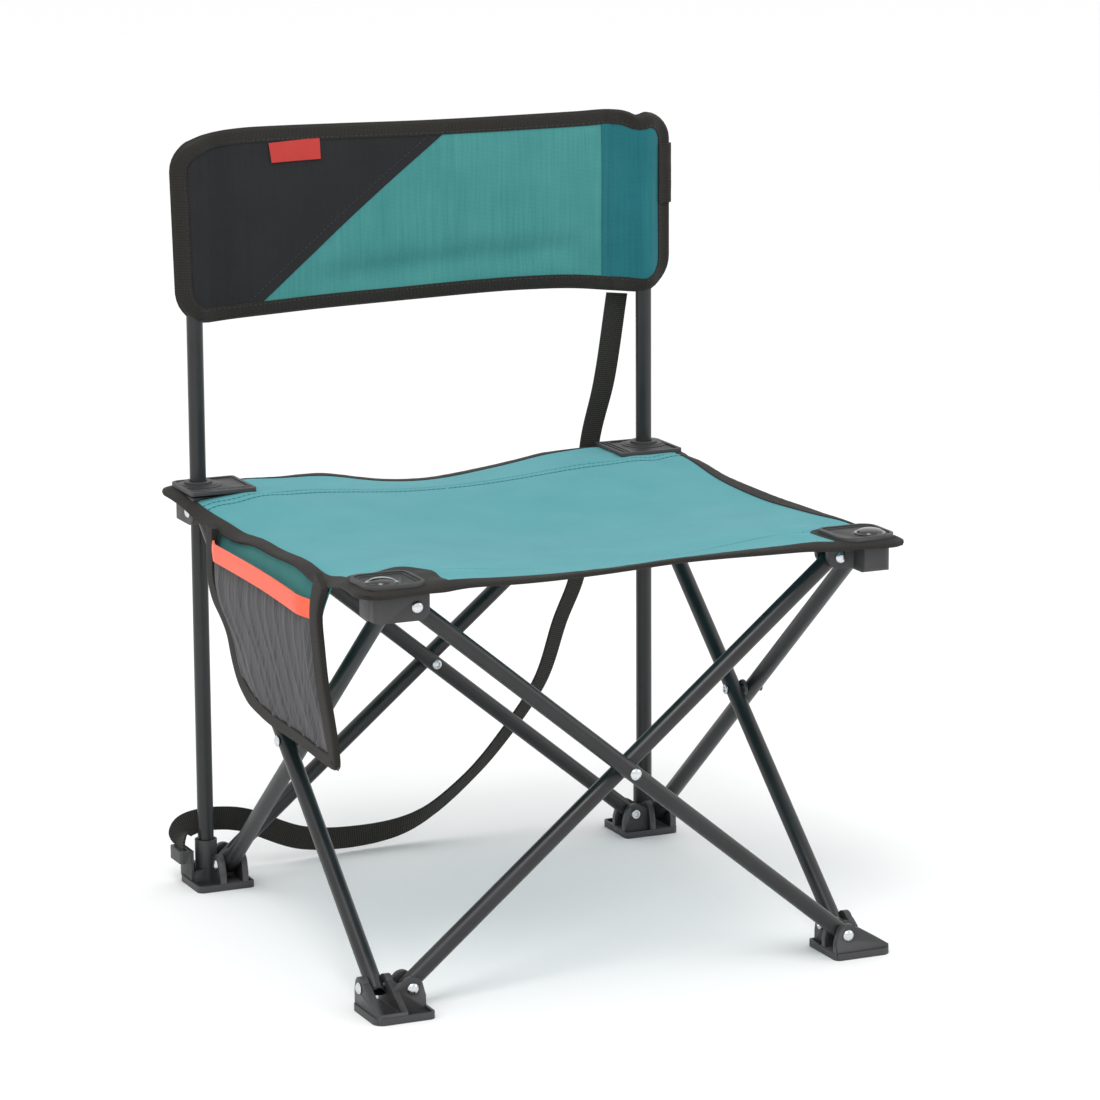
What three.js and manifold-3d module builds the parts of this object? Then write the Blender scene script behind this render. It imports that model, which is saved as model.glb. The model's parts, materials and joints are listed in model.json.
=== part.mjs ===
// A low folding camp chair: a square stool of eight crossed tube legs with a cloth seat, and a cloth
// backrest on two posts. Millimetres, +Z up. The origin is on the floor at the centre of the four feet,
// the seat's front faces -Y, and "left" is -X, as seen from in front.

import * as THREE from 'three';
import { mergeVertices } from 'three/addons/utils/BufferGeometryUtils.js';
import Module from 'manifold-3d';

const wasm = await Module();
wasm.setup();

// ---- driving dimensions -----------------------------------------------------------------------
const GAP = 0.3;               // clearance between touching pieces
const TUBE_R = 5;              // legs and posts are 10 mm steel tube
const TUBE_WALL = 1;
const PIVOT = 135.5;           // half the distance between the pivots of one side
const PLANE_OUTER = 153.3;     // plane of the outer leg of each side, from the middle
const PLANE_INNER = 140.3;     // plane of the inner leg
const PIVOT_TOP_Z = 239.3;     // upper pivots, in the hubs
const PIVOT_FOOT_Z = 14.6;     // lower pivots, in the feet
const LEG_END = 5.5;           // tube beyond each end pivot
const RIVET_R = 2;
const RIVET_HOLE_R = RIVET_R + GAP;
const RIVET_HEAD_R = 3.5;
const RIVET_HEAD_H = 1.7;

const POST = 150.5;            // the posts stand at (+-POST, POST)
const POST_BOTTOM_Z = 3.9;
const POST_TOP_Z = 458;
const CAP_TOP_Z = 462;

const HUB_FACE = 162.7;        // outer face of a hub and of a foot's wall, from the middle
const HUB_INNER_END = 127.5;   // where a hub and a foot end towards the middle
const HUB_BOTTOM_Z = 231.5;
const HUB_CEILING_Z = 247.2;
const HUB_TOP_Z = 249.1;
const WALL = 4.1;              // wall beside a leg
const CHANNEL = TUBE_R + GAP;  // half the width of a leg's channel
const SWING_R = Math.hypot(LEG_END, TUBE_R) + GAP;   // room for a leg's end to turn

const FOOT_HALF = 18.5;        // half the width of a foot's tray
const FOOT_CENTRE = 145.5;     // the tray's middle, from the object's middle
const FOOT_FLOOR = 2.4;
const FOOT_RIM_Z = 4.2;
const FOOT_RIM_WALL = 1.6;
const FOOT_WALL_Z = PIVOT_FOOT_Z + 6.6;
const SOCKET_R = 6.9;
const SOCKET_TOP_Z = 28;

const SEAT_TIP = 172.5;        // half the seat's width at its corners
const SEAT_BOW = 11;           // how far each edge curves in between the corners
const SEAT_FLAT = 0.73;        // share of the half width where the cloth leaves the hubs
const SEAT_EDGE_SAG = 7.5;
const SEAT_CENTRE_SAG = 15;
const CLOTH = 1.4;
const SEAT_Z = HUB_TOP_Z + GAP;                 // underside of the cloth on the hubs
const PLATE_Z = SEAT_Z + CLOTH + GAP;
const PLATE_TOP_Z = PLATE_Z + 2.4;
const DOME_AT = 152.6;
const DOME_R = 9.3;
const DOME_H = 3.2;
const STUD_R = 2.5;
const POST_HOLE_R = TUBE_R + 0.4;
const COLLAR_R = 8.6;
const COLLAR_H = 1.6;

const BACK_BOTTOM_Z = 351;
const BACK_TOP_Z = 469;
const BACK_HALF = 165.5;       // half the backrest's width
const SLEEVE_INNER = 127;      // the seam between the panel and a sleeve
const SLEEVE_R = 7.9;          // the sleeve round a post
const SLEEVE_BORE_R = 6.1;
const PANEL_T = 3.6;

// ---- colours and finishes ---------------------------------------------------------------------
function finish(colour, roughness, metalness) {
  return new THREE.MeshStandardMaterial({ color: colour, roughness, metalness });
}
const paint = finish(0x35373a, 0.45, 0.6);
const plastic = finish(0x2b2b2c, 0.6, 0);
const glossPlastic = finish(0x1d1d1e, 0.2, 0);
const zinc = finish(0xc9ccd0, 0.3, 1);
const tealCloth = finish(0x5fa9aa, 0.85, 0);
const blackCloth = finish(0x2d2d2f, 0.9, 0);
const mesh = finish(0x6a6a6c, 0.9, 0);
const webbing = finish(0x2a2a26, 0.85, 0);

// ---- shapes -----------------------------------------------------------------------------------
function solid(geometry) {
  geometry.deleteAttribute('normal');
  geometry.deleteAttribute('uv');
  const merged = mergeVertices(geometry, 1e-4);
  return new wasm.Manifold(new wasm.Mesh({
    numProp: 3,
    vertProperties: new Float32Array(merged.attributes.position.array),
    triVerts: new Uint32Array(merged.index.array),
  }));
}

function geometryOf(manifold) {
  const result = manifold.getMesh();
  const geometry = new THREE.BufferGeometry();
  geometry.setAttribute('position', new THREE.BufferAttribute(result.vertProperties, 3));
  geometry.setIndex(new THREE.BufferAttribute(result.triVerts, 1));
  geometry.computeVertexNormals();
  return geometry;
}

function circle(radius, x = 0, y = 0) {
  return new THREE.Shape().absarc(x, y, radius, 0, 2 * Math.PI, false);
}

// A rectangle with its own corner radius at each corner: lower left, lower right, upper right, upper left.
function rounded(x0, y0, x1, y1, [ll, lr, ur, ul]) {
  const shape = new THREE.Shape();
  shape.moveTo(x0 + ll, y0);
  shape.lineTo(x1 - lr, y0);
  if (lr) shape.absarc(x1 - lr, y0 + lr, lr, -Math.PI / 2, 0, false);
  shape.lineTo(x1, y1 - ur);
  if (ur) shape.absarc(x1 - ur, y1 - ur, ur, 0, Math.PI / 2, false);
  shape.lineTo(x0 + ul, y1);
  if (ul) shape.absarc(x0 + ul, y1 - ul, ul, Math.PI / 2, Math.PI, false);
  shape.lineTo(x0, y0 + ll);
  if (ll) shape.absarc(x0 + ll, y0 + ll, ll, Math.PI, 1.5 * Math.PI, false);
  return shape;
}

// Extrudes a shape along an axis from one place to another. Along X the shape is drawn in (y, z), along
// Y in (x, z) and along Z in (x, y).
const UNIT_X = new THREE.Vector3(1, 0, 0);
const UNIT_Y = new THREE.Vector3(0, 1, 0);
const UNIT_Z = new THREE.Vector3(0, 0, 1);
const AXES = {
  x: new THREE.Matrix4().makeBasis(UNIT_Y, UNIT_Z, UNIT_X),
  y: new THREE.Matrix4().makeBasis(UNIT_X, UNIT_Z, UNIT_Y.clone().negate()),
  z: new THREE.Matrix4(),
};
function extrude(shape, axis, from, to, curveSegments = 2) {
  const options = { depth: to - from, bevelEnabled: false, curveSegments };
  const geometry = new THREE.ExtrudeGeometry(shape, options);
  geometry.translate(0, 0, axis === 'y' ? -to : from);
  return geometry.applyMatrix4(AXES[axis]);
}

function block(x0, x1, y0, y1, z0, z1) {
  const geometry = new THREE.BoxGeometry(x1 - x0, y1 - y0, z1 - z0);
  return solid(geometry.translate((x0 + x1) / 2, (y0 + y1) / 2, (z0 + z1) / 2));
}

function rod(axis, radius, from, to, centre, segments = 8) {
  return solid(extrude(circle(radius, centre[0], centre[1]), axis, from, to, segments / 2));
}

function turned(points, segments = 20) {
  const profile = points.map(([radius, height]) => new THREE.Vector2(radius, height));
  return new THREE.LatheGeometry(profile, segments).rotateX(Math.PI / 2);
}

// A dome-headed rivet along +Z: the head's underside is at 0, the shank runs to length, and a tail ring
// closes it where there is one.
function rivetGeometry(length, tail) {
  const points = [[0, -RIVET_HEAD_H], [2.4, -RIVET_HEAD_H * 0.75], [RIVET_HEAD_R, 0]];
  points.push([RIVET_R, 0], [RIVET_R, length]);
  if (tail) points.push([3, length], [2.6, length + 1.1], [0, length + 1.1]);
  else points.push([0, length]);
  return turned(points, 10);
}

// ---- assembly helpers -------------------------------------------------------------------------
const chair = new THREE.Group();

function add(parent, name, geometry, material) {
  const item = new THREE.Mesh(geometry, material);
  item.name = name;
  parent.add(item);
  return item;
}

// Each side and each corner is made as the front one and turned into place.
const SIDES = ['front', 'right', 'rear', 'left'];
const CORNERS = ['front_left', 'front_right', 'rear_right', 'rear_left'];
function turnedGroup(quarter) {
  const group = new THREE.Group();
  group.rotation.z = quarter * Math.PI / 2;
  chair.add(group);
  return group;
}

// ---- legs and crossing pivots -----------------------------------------------------------------
const LEG_LENGTH = Math.hypot(2 * PIVOT, PIVOT_TOP_Z - PIVOT_FOOT_Z);
const LEG_ANGLE = Math.atan2(PIVOT_TOP_Z - PIVOT_FOOT_Z, 2 * PIVOT);

function legGeometry() {
  const half = LEG_LENGTH / 2 + LEG_END;
  const section = circle(TUBE_R);
  section.holes.push(new THREE.Path().absarc(0, 0, TUBE_R - TUBE_WALL, 0, 2 * Math.PI, true));
  let tube = solid(extrude(section, 'x', -half, half, 6));
  for (const along of [-LEG_LENGTH / 2, 0, LEG_LENGTH / 2]) {
    tube = tube.subtract(rod('y', RIVET_HOLE_R, -TUBE_R - 1, TUBE_R + 1, [along, 0], 8));
  }
  return geometryOf(tube);
}

function addSide(quarter) {
  const side = SIDES[quarter];
  const group = turnedGroup(quarter);
  const middle = (PIVOT_TOP_Z + PIVOT_FOOT_Z) / 2;
  const outer = add(group, `${side}_outer_leg`, legGeometry(), paint);
  outer.position.set(0, -PLANE_OUTER, middle);
  outer.rotation.y = LEG_ANGLE;
  const inner = add(group, `${side}_inner_leg`, legGeometry(), paint);
  inner.position.set(0, -PLANE_INNER, middle);
  inner.rotation.y = -LEG_ANGLE;

  const grip = PLANE_OUTER - PLANE_INNER + 2 * (TUBE_R + GAP);
  const rivet = add(group, `${side}_crossing_rivet`, rivetGeometry(grip, true), zinc);
  rivet.position.set(0, -PLANE_OUTER - TUBE_R - GAP, middle);
  rivet.rotation.x = -Math.PI / 2;

  const clear = PLANE_OUTER - PLANE_INNER - 2 * TUBE_R;
  const section = circle(TUBE_R);
  section.holes.push(new THREE.Path().absarc(0, 0, RIVET_HOLE_R, 0, 2 * Math.PI, true));
  const washer = extrude(section, 'y', -(clear / 2 - GAP), clear / 2 - GAP, 5);
  add(group, `${side}_crossing_washer`, washer, plastic).position
    .set(0, -(PLANE_OUTER + PLANE_INNER) / 2, middle);
}

// ---- hubs under the seat's corners ------------------------------------------------------------
// Room for a leg to turn: a round end about the pivot, open towards the middle of its side.
function channel(axis, plane, floorZ, ceilingZ, pivotZ, endAt) {
  const shape = rounded(-PIVOT - SWING_R, floorZ, endAt, ceilingZ, [0, 0, 0, 0]);
  const run = solid(extrude(shape, axis, -plane - CHANNEL, -plane + CHANNEL));
  return run.add(rod(axis, SWING_R, -plane - CHANNEL, -plane + CHANNEL, [-PIVOT, pivotZ], 12));
}

// The walls outside the outer leg and on both sides of the inner one.
const WALL_OUTER = WALL - 0.1;
const WALL_INNER = WALL - 0.3;
const OUTER_WALL_END = -PLANE_OUTER + CHANNEL + WALL_OUTER;
const INNER_WALLS = [-PLANE_INNER - CHANNEL - WALL_INNER, -PLANE_INNER + CHANNEL + WALL_INNER];
const HUB_ROOF_START = -149;

function hubGeometry(rear) {
  const outerArm = rounded(-HUB_FACE, HUB_BOTTOM_Z, -HUB_INNER_END, HUB_TOP_Z, [3, 7, 0, 0]);
  const innerArm = rounded(-PLANE_OUTER, HUB_BOTTOM_Z + 1, -HUB_INNER_END, HUB_TOP_Z, [0, 7, 0, 0]);
  let hub = solid(extrude(outerArm, 'y', -HUB_FACE, OUTER_WALL_END));
  hub = hub.add(solid(extrude(innerArm, 'x', INNER_WALLS[0], INNER_WALLS[1])));
  const [from, to] = [HUB_ROOF_START, -HUB_INNER_END];
  hub = hub.add(block(from, to, from, to, HUB_CEILING_Z, HUB_TOP_Z));
  const outline = rounded(-HUB_FACE, -HUB_FACE, -HUB_INNER_END, -HUB_INNER_END, [6, 1.5, 1.5, 1.5]);
  hub = hub.intersect(solid(extrude(outline, 'z', HUB_BOTTOM_Z - 1, HUB_TOP_Z + 1)));
  const below = HUB_BOTTOM_Z - 2;
  const past = to + 2;
  hub = hub.subtract(channel('y', PLANE_OUTER, below, HUB_CEILING_Z, PIVOT_TOP_Z, past));
  hub = hub.subtract(channel('x', PLANE_INNER, below, HUB_CEILING_Z, PIVOT_TOP_Z, past));
  const pivot = [-PIVOT, PIVOT_TOP_Z];
  hub = hub.subtract(rod('y', RIVET_HOLE_R, -HUB_FACE - 1, OUTER_WALL_END + 1, pivot));
  hub = hub.subtract(rod('x', RIVET_HOLE_R, -PLANE_OUTER, to, pivot));
  const above = HUB_TOP_Z + 1;
  if (rear) {
    hub = hub.subtract(rod('z', POST_HOLE_R, below, above, [-POST, -POST], 12));
  } else {
    hub = hub.subtract(rod('z', STUD_R + GAP, HUB_BOTTOM_Z + 3, above, [-DOME_AT, -DOME_AT], 12));
  }
  return geometryOf(hub);
}

// The clamp plates hold the cloth down on the hubs. The rear ones have a rim, and a collar round the
// post.
const REAR_PLATE_SPAN = [-164.5, -122.5];
const REAR_PLATE_RIM = 2.5;

function rearPlate() {
  const [from, to] = REAR_PLATE_SPAN;
  let plate = solid(extrude(rounded(from, from, to, to, [7, 2, 2, 2]), 'z', PLATE_Z, PLATE_TOP_Z));
  const [near, far] = [from + REAR_PLATE_RIM, to - REAR_PLATE_RIM];
  const inset = rounded(near, near, far, far, [5, 1, 1, 1]);
  plate = plate.subtract(solid(extrude(inset, 'z', PLATE_TOP_Z - 0.8, PLATE_TOP_Z + 1)));
  const post = [-POST, -POST];
  plate = plate.add(rod('z', COLLAR_R + 3, PLATE_Z + 0.5, PLATE_TOP_Z, post, 12));
  plate = plate.add(rod('z', COLLAR_R, PLATE_Z + 0.5, PLATE_TOP_Z + COLLAR_H, post, 12));
  plate = plate.subtract(rod('z', POST_HOLE_R, PLATE_Z - 1, PLATE_TOP_Z + 3, post, 12));
  return geometryOf(plate);
}

// The front ones are rimmed pads with a dome button through them.
const FRONT_PLATE_SPAN = [-165, -129];
const FRONT_PLATE_RIM = 2.4;
const FRONT_PLATE_SINK = 1.2;

function frontPlate() {
  const [from, to] = FRONT_PLATE_SPAN;
  let plate = solid(extrude(rounded(from, from, to, to, [9, 9, 6, 9]), 'z', PLATE_Z, PLATE_TOP_Z));
  const [near, far] = [from + FRONT_PLATE_RIM, to - FRONT_PLATE_RIM];
  const inset = rounded(near, near, far, far, [7, 7, 4, 7]);
  plate = plate.subtract(solid(extrude(inset, 'z', PLATE_TOP_Z - FRONT_PLATE_SINK, PLATE_TOP_Z + 1)));
  plate = plate.subtract(rod('z', STUD_R + GAP, PLATE_Z - 1, PLATE_TOP_Z, [-DOME_AT, -DOME_AT], 12));
  return geometryOf(plate);
}

const DOME_RIM_H = 0.8;

function domeGeometry() {
  const baseZ = PLATE_TOP_Z - FRONT_PLATE_SINK + GAP;
  const studZ = HUB_BOTTOM_Z + 4;
  const points = [[0, studZ], [STUD_R, studZ], [STUD_R, baseZ], [DOME_R, baseZ]];
  const steps = 3;
  for (let i = 0; i < steps; i += 1) {
    const angle = i * Math.PI / 2 / steps;
    const height = DOME_RIM_H + (DOME_H - DOME_RIM_H) * Math.sin(angle);
    points.push([DOME_R * Math.cos(angle), baseZ + height]);
  }
  points.push([0, baseZ + DOME_H]);
  return turned(points, 16).translate(-DOME_AT, -DOME_AT, 0);
}

// ---- feet -------------------------------------------------------------------------------------
// A wall beside a leg: round over the pivot, falling away towards the tray's outer edge.
function footWall() {
  const shape = new THREE.Shape();
  shape.moveTo(-HUB_FACE, 1);
  shape.lineTo(-HUB_FACE, 6);
  shape.lineTo(-PIVOT - 7, FOOT_WALL_Z - 3);
  shape.absarc(-PIVOT, PIVOT_FOOT_Z, 6.6, 0.8 * Math.PI, 0.15 * Math.PI, true);
  shape.lineTo(-HUB_INNER_END, 10);
  shape.lineTo(-HUB_INNER_END, 1);
  return shape;
}

function footGeometry(rear) {
  const lo = -FOOT_CENTRE - FOOT_HALF;
  const hi = -FOOT_CENTRE + FOOT_HALF;
  const roof = FOOT_WALL_Z + 2;
  const outline = rounded(lo, lo, hi, hi, [6, 4, 3, 4]);
  let foot = solid(extrude(outline, 'z', 0, FOOT_RIM_Z));
  const [near, far] = [lo + FOOT_RIM_WALL, hi - FOOT_RIM_WALL];
  const tray = rounded(near, near, far, far, [4.6, 2.6, 1.6, 2.6]);
  foot = foot.subtract(solid(extrude(tray, 'z', FOOT_FLOOR, roof)));
  foot = foot.add(solid(extrude(footWall(), 'x', -HUB_FACE, OUTER_WALL_END)));
  foot = foot.add(solid(extrude(footWall(), 'y', INNER_WALLS[0], INNER_WALLS[1])));
  foot = foot.intersect(solid(extrude(outline, 'z', -1, roof)));
  const bed = FOOT_FLOOR + 2;
  foot = foot.subtract(channel('x', PLANE_OUTER, bed, roof, PIVOT_FOOT_Z, hi + 2));
  foot = foot.subtract(channel('y', PLANE_INNER, bed, roof, PIVOT_FOOT_Z, hi + 2));
  const sides = [-PLANE_OUTER - CHANNEL, -PLANE_OUTER + CHANNEL];
  foot = foot.subtract(block(sides[0], sides[1], near, -PIVOT, bed, roof));
  if (rear) {
    const post = [-POST, -POST];
    foot = foot.add(rod('z', SOCKET_R, 1, SOCKET_TOP_Z, post, 12));
    foot = foot.subtract(rod('z', TUBE_R + GAP, POST_BOTTOM_Z - GAP, SOCKET_TOP_Z + 1, post, 12));
  }
  const pivot = [-PIVOT, PIVOT_FOOT_Z];
  foot = foot.subtract(rod('x', RIVET_HOLE_R, -HUB_FACE - 1, OUTER_WALL_END + 1, pivot));
  foot = foot.subtract(rod('y', RIVET_HOLE_R, -PLANE_OUTER, INNER_WALLS[1] + 1, pivot));
  return foot;
}

// The rear left foot also carries the slotted lug that the carrying strap is sewn through.
const LUG_REACH = 7;
const LUG_Z = [15, 23];
const LUG_SPAN = [-164, -144.4];
const LUG_SLOT_SPAN = [-162.4, -146.1];
const LUG_SLOT = 3.2;
const LUG_LIP = 2.2;
const LUG_WALL_SPAN = [-163.5, -143.5];

function withStrapLug(foot) {
  const end = -HUB_FACE - LUG_REACH;
  const outline = rounded(LUG_SPAN[0], end, LUG_SPAN[1], -HUB_FACE + 1, [2, 2, 0, 0]);
  const slotFrom = end + LUG_LIP;
  const corners = [0.6, 0.6, 0.6, 0.6];
  const slot = rounded(LUG_SLOT_SPAN[0], slotFrom, LUG_SLOT_SPAN[1], slotFrom + LUG_SLOT, corners);
  const hole = solid(extrude(slot, 'z', LUG_Z[0] - 1, LUG_Z[1] + 1, 6));
  const lug = solid(extrude(outline, 'z', LUG_Z[0], LUG_Z[1])).subtract(hole);
  const [from, to] = LUG_WALL_SPAN;
  const wall = block(from, to, -HUB_FACE - 0.1, -HUB_FACE + 1.6, 3, LUG_Z[1]);
  return foot.add(lug).add(wall);
}

function addCorner(quarter) {
  const corner = CORNERS[quarter];
  const rear = corner.startsWith('rear');
  const group = turnedGroup(quarter);
  add(group, `${corner}_hub`, hubGeometry(rear), plastic);
  let foot = footGeometry(rear);
  if (corner === 'rear_left') foot = withStrapLug(foot);
  add(group, `${corner}_foot`, geometryOf(foot), plastic);
  const plate = rear ? rearPlate() : frontPlate();
  add(group, `${corner}_clamp_plate`, plate, plastic);
  if (!rear) add(group, `${corner}_dome_button`, domeGeometry(), glossPlastic);

  const outerGrip = HUB_FACE + OUTER_WALL_END;
  const innerGrip = 2 * (CHANNEL + WALL_INNER + GAP);
  const outerHub = add(group, `${corner}_hub_rivet_outer`, rivetGeometry(outerGrip, false), zinc);
  outerHub.position.set(-PIVOT, -HUB_FACE - GAP, PIVOT_TOP_Z);
  outerHub.rotation.x = -Math.PI / 2;
  const innerHub = add(group, `${corner}_hub_rivet_inner`, rivetGeometry(innerGrip, true), zinc);
  innerHub.position.set(-PLANE_INNER - innerGrip / 2, -PIVOT, PIVOT_TOP_Z);
  innerHub.rotation.y = Math.PI / 2;
  const outerFoot = add(group, `${corner}_foot_rivet_outer`, rivetGeometry(outerGrip, false), zinc);
  outerFoot.position.set(-HUB_FACE - GAP, -PIVOT, PIVOT_FOOT_Z);
  outerFoot.rotation.y = Math.PI / 2;
  const innerFoot = add(group, `${corner}_foot_rivet_inner`, rivetGeometry(innerGrip, true), zinc);
  innerFoot.position.set(-PIVOT, -PLANE_INNER - innerGrip / 2, PIVOT_FOOT_Z);
  innerFoot.rotation.x = -Math.PI / 2;
}

// ---- posts ------------------------------------------------------------------------------------
const CAP_PLUG = 8;
const CAP_R = TUBE_R + 0.3;
const CAP_RIM_H = 1.8;
const CAP_CROWN_R = 3.6;

function addPost(side, x) {
  const section = circle(TUBE_R);
  section.holes.push(new THREE.Path().absarc(0, 0, TUBE_R - TUBE_WALL, 0, 2 * Math.PI, true));
  const tube = extrude(section, 'z', POST_BOTTOM_Z, POST_TOP_Z, 6);
  add(chair, `${side}_post`, tube, paint).position.set(x, POST, 0);
  const plugR = TUBE_R - TUBE_WALL - GAP;
  const rimZ = POST_TOP_Z + GAP;
  const points = [[0, rimZ - CAP_PLUG], [plugR, rimZ - CAP_PLUG], [plugR, rimZ], [CAP_R, rimZ]];
  points.push([CAP_R, rimZ + CAP_RIM_H], [CAP_CROWN_R, CAP_TOP_Z - 0.4], [0, CAP_TOP_Z]);
  add(chair, `${side}_post_cap`, turned(points, 20), plastic).position.set(x, POST, 0);
}

// ---- seat cloth -------------------------------------------------------------------------------
// The cloth is one sheet in four quarters that meet in the middle. It lies flat on the hubs, sags between
// them, and its edges curve in. s and t run from 0 in the middle to 1 at a corner's edges.
function rise(share) {
  return share >= SEAT_FLAT ? 0 : (1 - (share / SEAT_FLAT) ** 2) ** 2;
}
function seatPoint(s, t) {
  const x = s * (SEAT_TIP - SEAT_BOW * (1 - t * t));
  const y = t * (SEAT_TIP - SEAT_BOW * (1 - s * s));
  const [fs, ft] = [rise(s), rise(t)];
  const sag = SEAT_CENTRE_SAG * fs * ft + SEAT_EDGE_SAG * (fs * (1 - ft) + ft * (1 - fs));
  return [-x - GAP / 2, -y - GAP / 2, SEAT_Z - sag];
}

// A closed plate over a grid: its underside is at point(i, j) and it is thickness deep.
function slab(point, columns, rows, thickness) {
  const positions = [];
  for (const lift of [0, thickness]) {
    for (let j = 0; j <= rows; j += 1) {
      for (let i = 0; i <= columns; i += 1) {
        const [x, y, z] = point(i / columns, j / rows);
        positions.push(x, y, z + lift);
      }
    }
  }
  const at = (i, j, top) => (top ? (columns + 1) * (rows + 1) : 0) + j * (columns + 1) + i;
  const index = [];
  const quad = (a, b, c, d) => index.push(a, b, c, a, c, d);
  for (let j = 0; j < rows; j += 1) {
    for (let i = 0; i < columns; i += 1) {
      quad(at(i, j, 0), at(i, j + 1, 0), at(i + 1, j + 1, 0), at(i + 1, j, 0));
      quad(at(i, j, 1), at(i + 1, j, 1), at(i + 1, j + 1, 1), at(i, j + 1, 1));
    }
  }
  for (let i = 0; i < columns; i += 1) {
    quad(at(i, 0, 0), at(i + 1, 0, 0), at(i + 1, 0, 1), at(i, 0, 1));
    quad(at(i, rows, 1), at(i + 1, rows, 1), at(i + 1, rows, 0), at(i, rows, 0));
  }
  for (let j = 0; j < rows; j += 1) {
    quad(at(0, j, 1), at(0, j + 1, 1), at(0, j + 1, 0), at(0, j, 0));
    quad(at(columns, j, 0), at(columns, j + 1, 0), at(columns, j + 1, 1), at(columns, j, 1));
  }
  const geometry = new THREE.BufferGeometry();
  geometry.setAttribute('position', new THREE.Float32BufferAttribute(positions, 3));
  geometry.setIndex(index);
  return geometry;
}

function addSeatQuarter(quarter) {
  const corner = CORNERS[quarter];
  let cloth = solid(slab(seatPoint, 6, 6, CLOTH));
  const rear = corner.startsWith('rear');
  const [at, radius] = rear ? [POST, COLLAR_R] : [DOME_AT, STUD_R + GAP];
  cloth = cloth.subtract(rod('z', radius, SEAT_Z - 1, SEAT_Z + 3, [-at, -at], 16));
  add(turnedGroup(quarter), `${corner}_seat_quarter`, geometryOf(cloth), tealCloth);
}

// ---- backrest ---------------------------------------------------------------------------------
// A flat panel between two sleeves, each sewn round a post and closed at the top.
const SLEEVE_EDGE_T = 3;
const SLEEVE_TOP_ROUND = 16;
const SLEEVE_FOOT_ROUND = 14;

function sleeveGeometry(sign) {
  const shape = new THREE.Shape();
  const outer = BACK_HALF - POST;
  const inner = POST - SLEEVE_INNER;
  const blunt = Math.PI / 5;
  shape.moveTo(-inner, -PANEL_T / 2);
  shape.absarc(0, 0, SLEEVE_R, -Math.PI / 2 - blunt, -Math.PI / 2 + blunt, false);
  shape.lineTo(outer, -SLEEVE_EDGE_T / 2);
  shape.lineTo(outer, SLEEVE_EDGE_T / 2);
  shape.absarc(0, 0, SLEEVE_R, Math.PI / 2 - blunt, Math.PI / 2 + blunt, false);
  shape.lineTo(-inner, PANEL_T / 2);
  const sleeve = solid(extrude(shape, 'z', BACK_BOTTOM_Z, BACK_TOP_Z));
  const bore = rod('z', SLEEVE_BORE_R, BACK_BOTTOM_Z - 1, CAP_TOP_Z + 1, [0, 0], 20);
  const corners = [0, SLEEVE_FOOT_ROUND, SLEEVE_TOP_ROUND, 0];
  const side = rounded(-inner - 1, BACK_BOTTOM_Z, outer, BACK_TOP_Z, corners);
  const cut = sleeve.intersect(solid(extrude(side, 'y', -20, 20, 8))).subtract(bore);
  return sign > 0 ? cut : cut.rotate([0, 0, 180]);
}

function addBackrest() {
  for (const [side, sign, cloth] of [['left', -1, blackCloth], ['right', 1, tealCloth]]) {
    const sleeve = add(chair, `backrest_${side}_sleeve`, geometryOf(sleeveGeometry(sign)), cloth);
    sleeve.position.set(sign * POST, POST, 0);
  }
  const width = 2 * (SLEEVE_INNER - GAP);
  const panel = new THREE.BoxGeometry(width, PANEL_T, BACK_TOP_Z - BACK_BOTTOM_Z);
  const item = add(chair, 'backrest_panel', panel, tealCloth);
  item.position.set(0, POST, (BACK_TOP_Z + BACK_BOTTOM_Z) / 2);
}

// ---- side pocket ------------------------------------------------------------------------------
// A flat pocket hung from the seat's left edge: a back panel, a mesh front, open along the top.
const POCKET = {
  front: -118,
  rear: 86,
  top: 238,
  rim: 228,
  bottom: 137,
  back: -162.2,
  face: -169.5,
  wall: 1,
  hem: 2,
  chamfer: 4,
  curveStart: -10,
  curveHeight: 62,
};
function pocketOutline(inset, top) {
  const { front, rear, bottom, chamfer, curveStart, curveHeight } = POCKET;
  const [near, low] = [front + inset, bottom + inset];
  const [reach, height] = [rear - curveStart - inset, curveHeight - inset];
  const shape = new THREE.Shape();
  shape.moveTo(near, top);
  shape.lineTo(near, low + chamfer);
  shape.lineTo(near + chamfer, low);
  shape.lineTo(curveStart, low);
  shape.absellipse(curveStart, bottom + curveHeight, reach, height, -Math.PI / 2, 0, false, 0);
  shape.lineTo(rear - inset, top);
  return shape;
}
function addPocket() {
  const { top, rim, back, face, wall, hem } = POCKET;
  const body = solid(extrude(pocketOutline(0, rim), 'x', face, back, 8));
  const inside = solid(extrude(pocketOutline(hem, rim + 1), 'x', face + wall, back - wall, 8));
  const backPanel = solid(extrude(pocketOutline(0, top), 'x', back - wall, back, 8));
  add(chair, 'side_pocket', geometryOf(body.subtract(inside).add(backPanel)), mesh);
}

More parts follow.
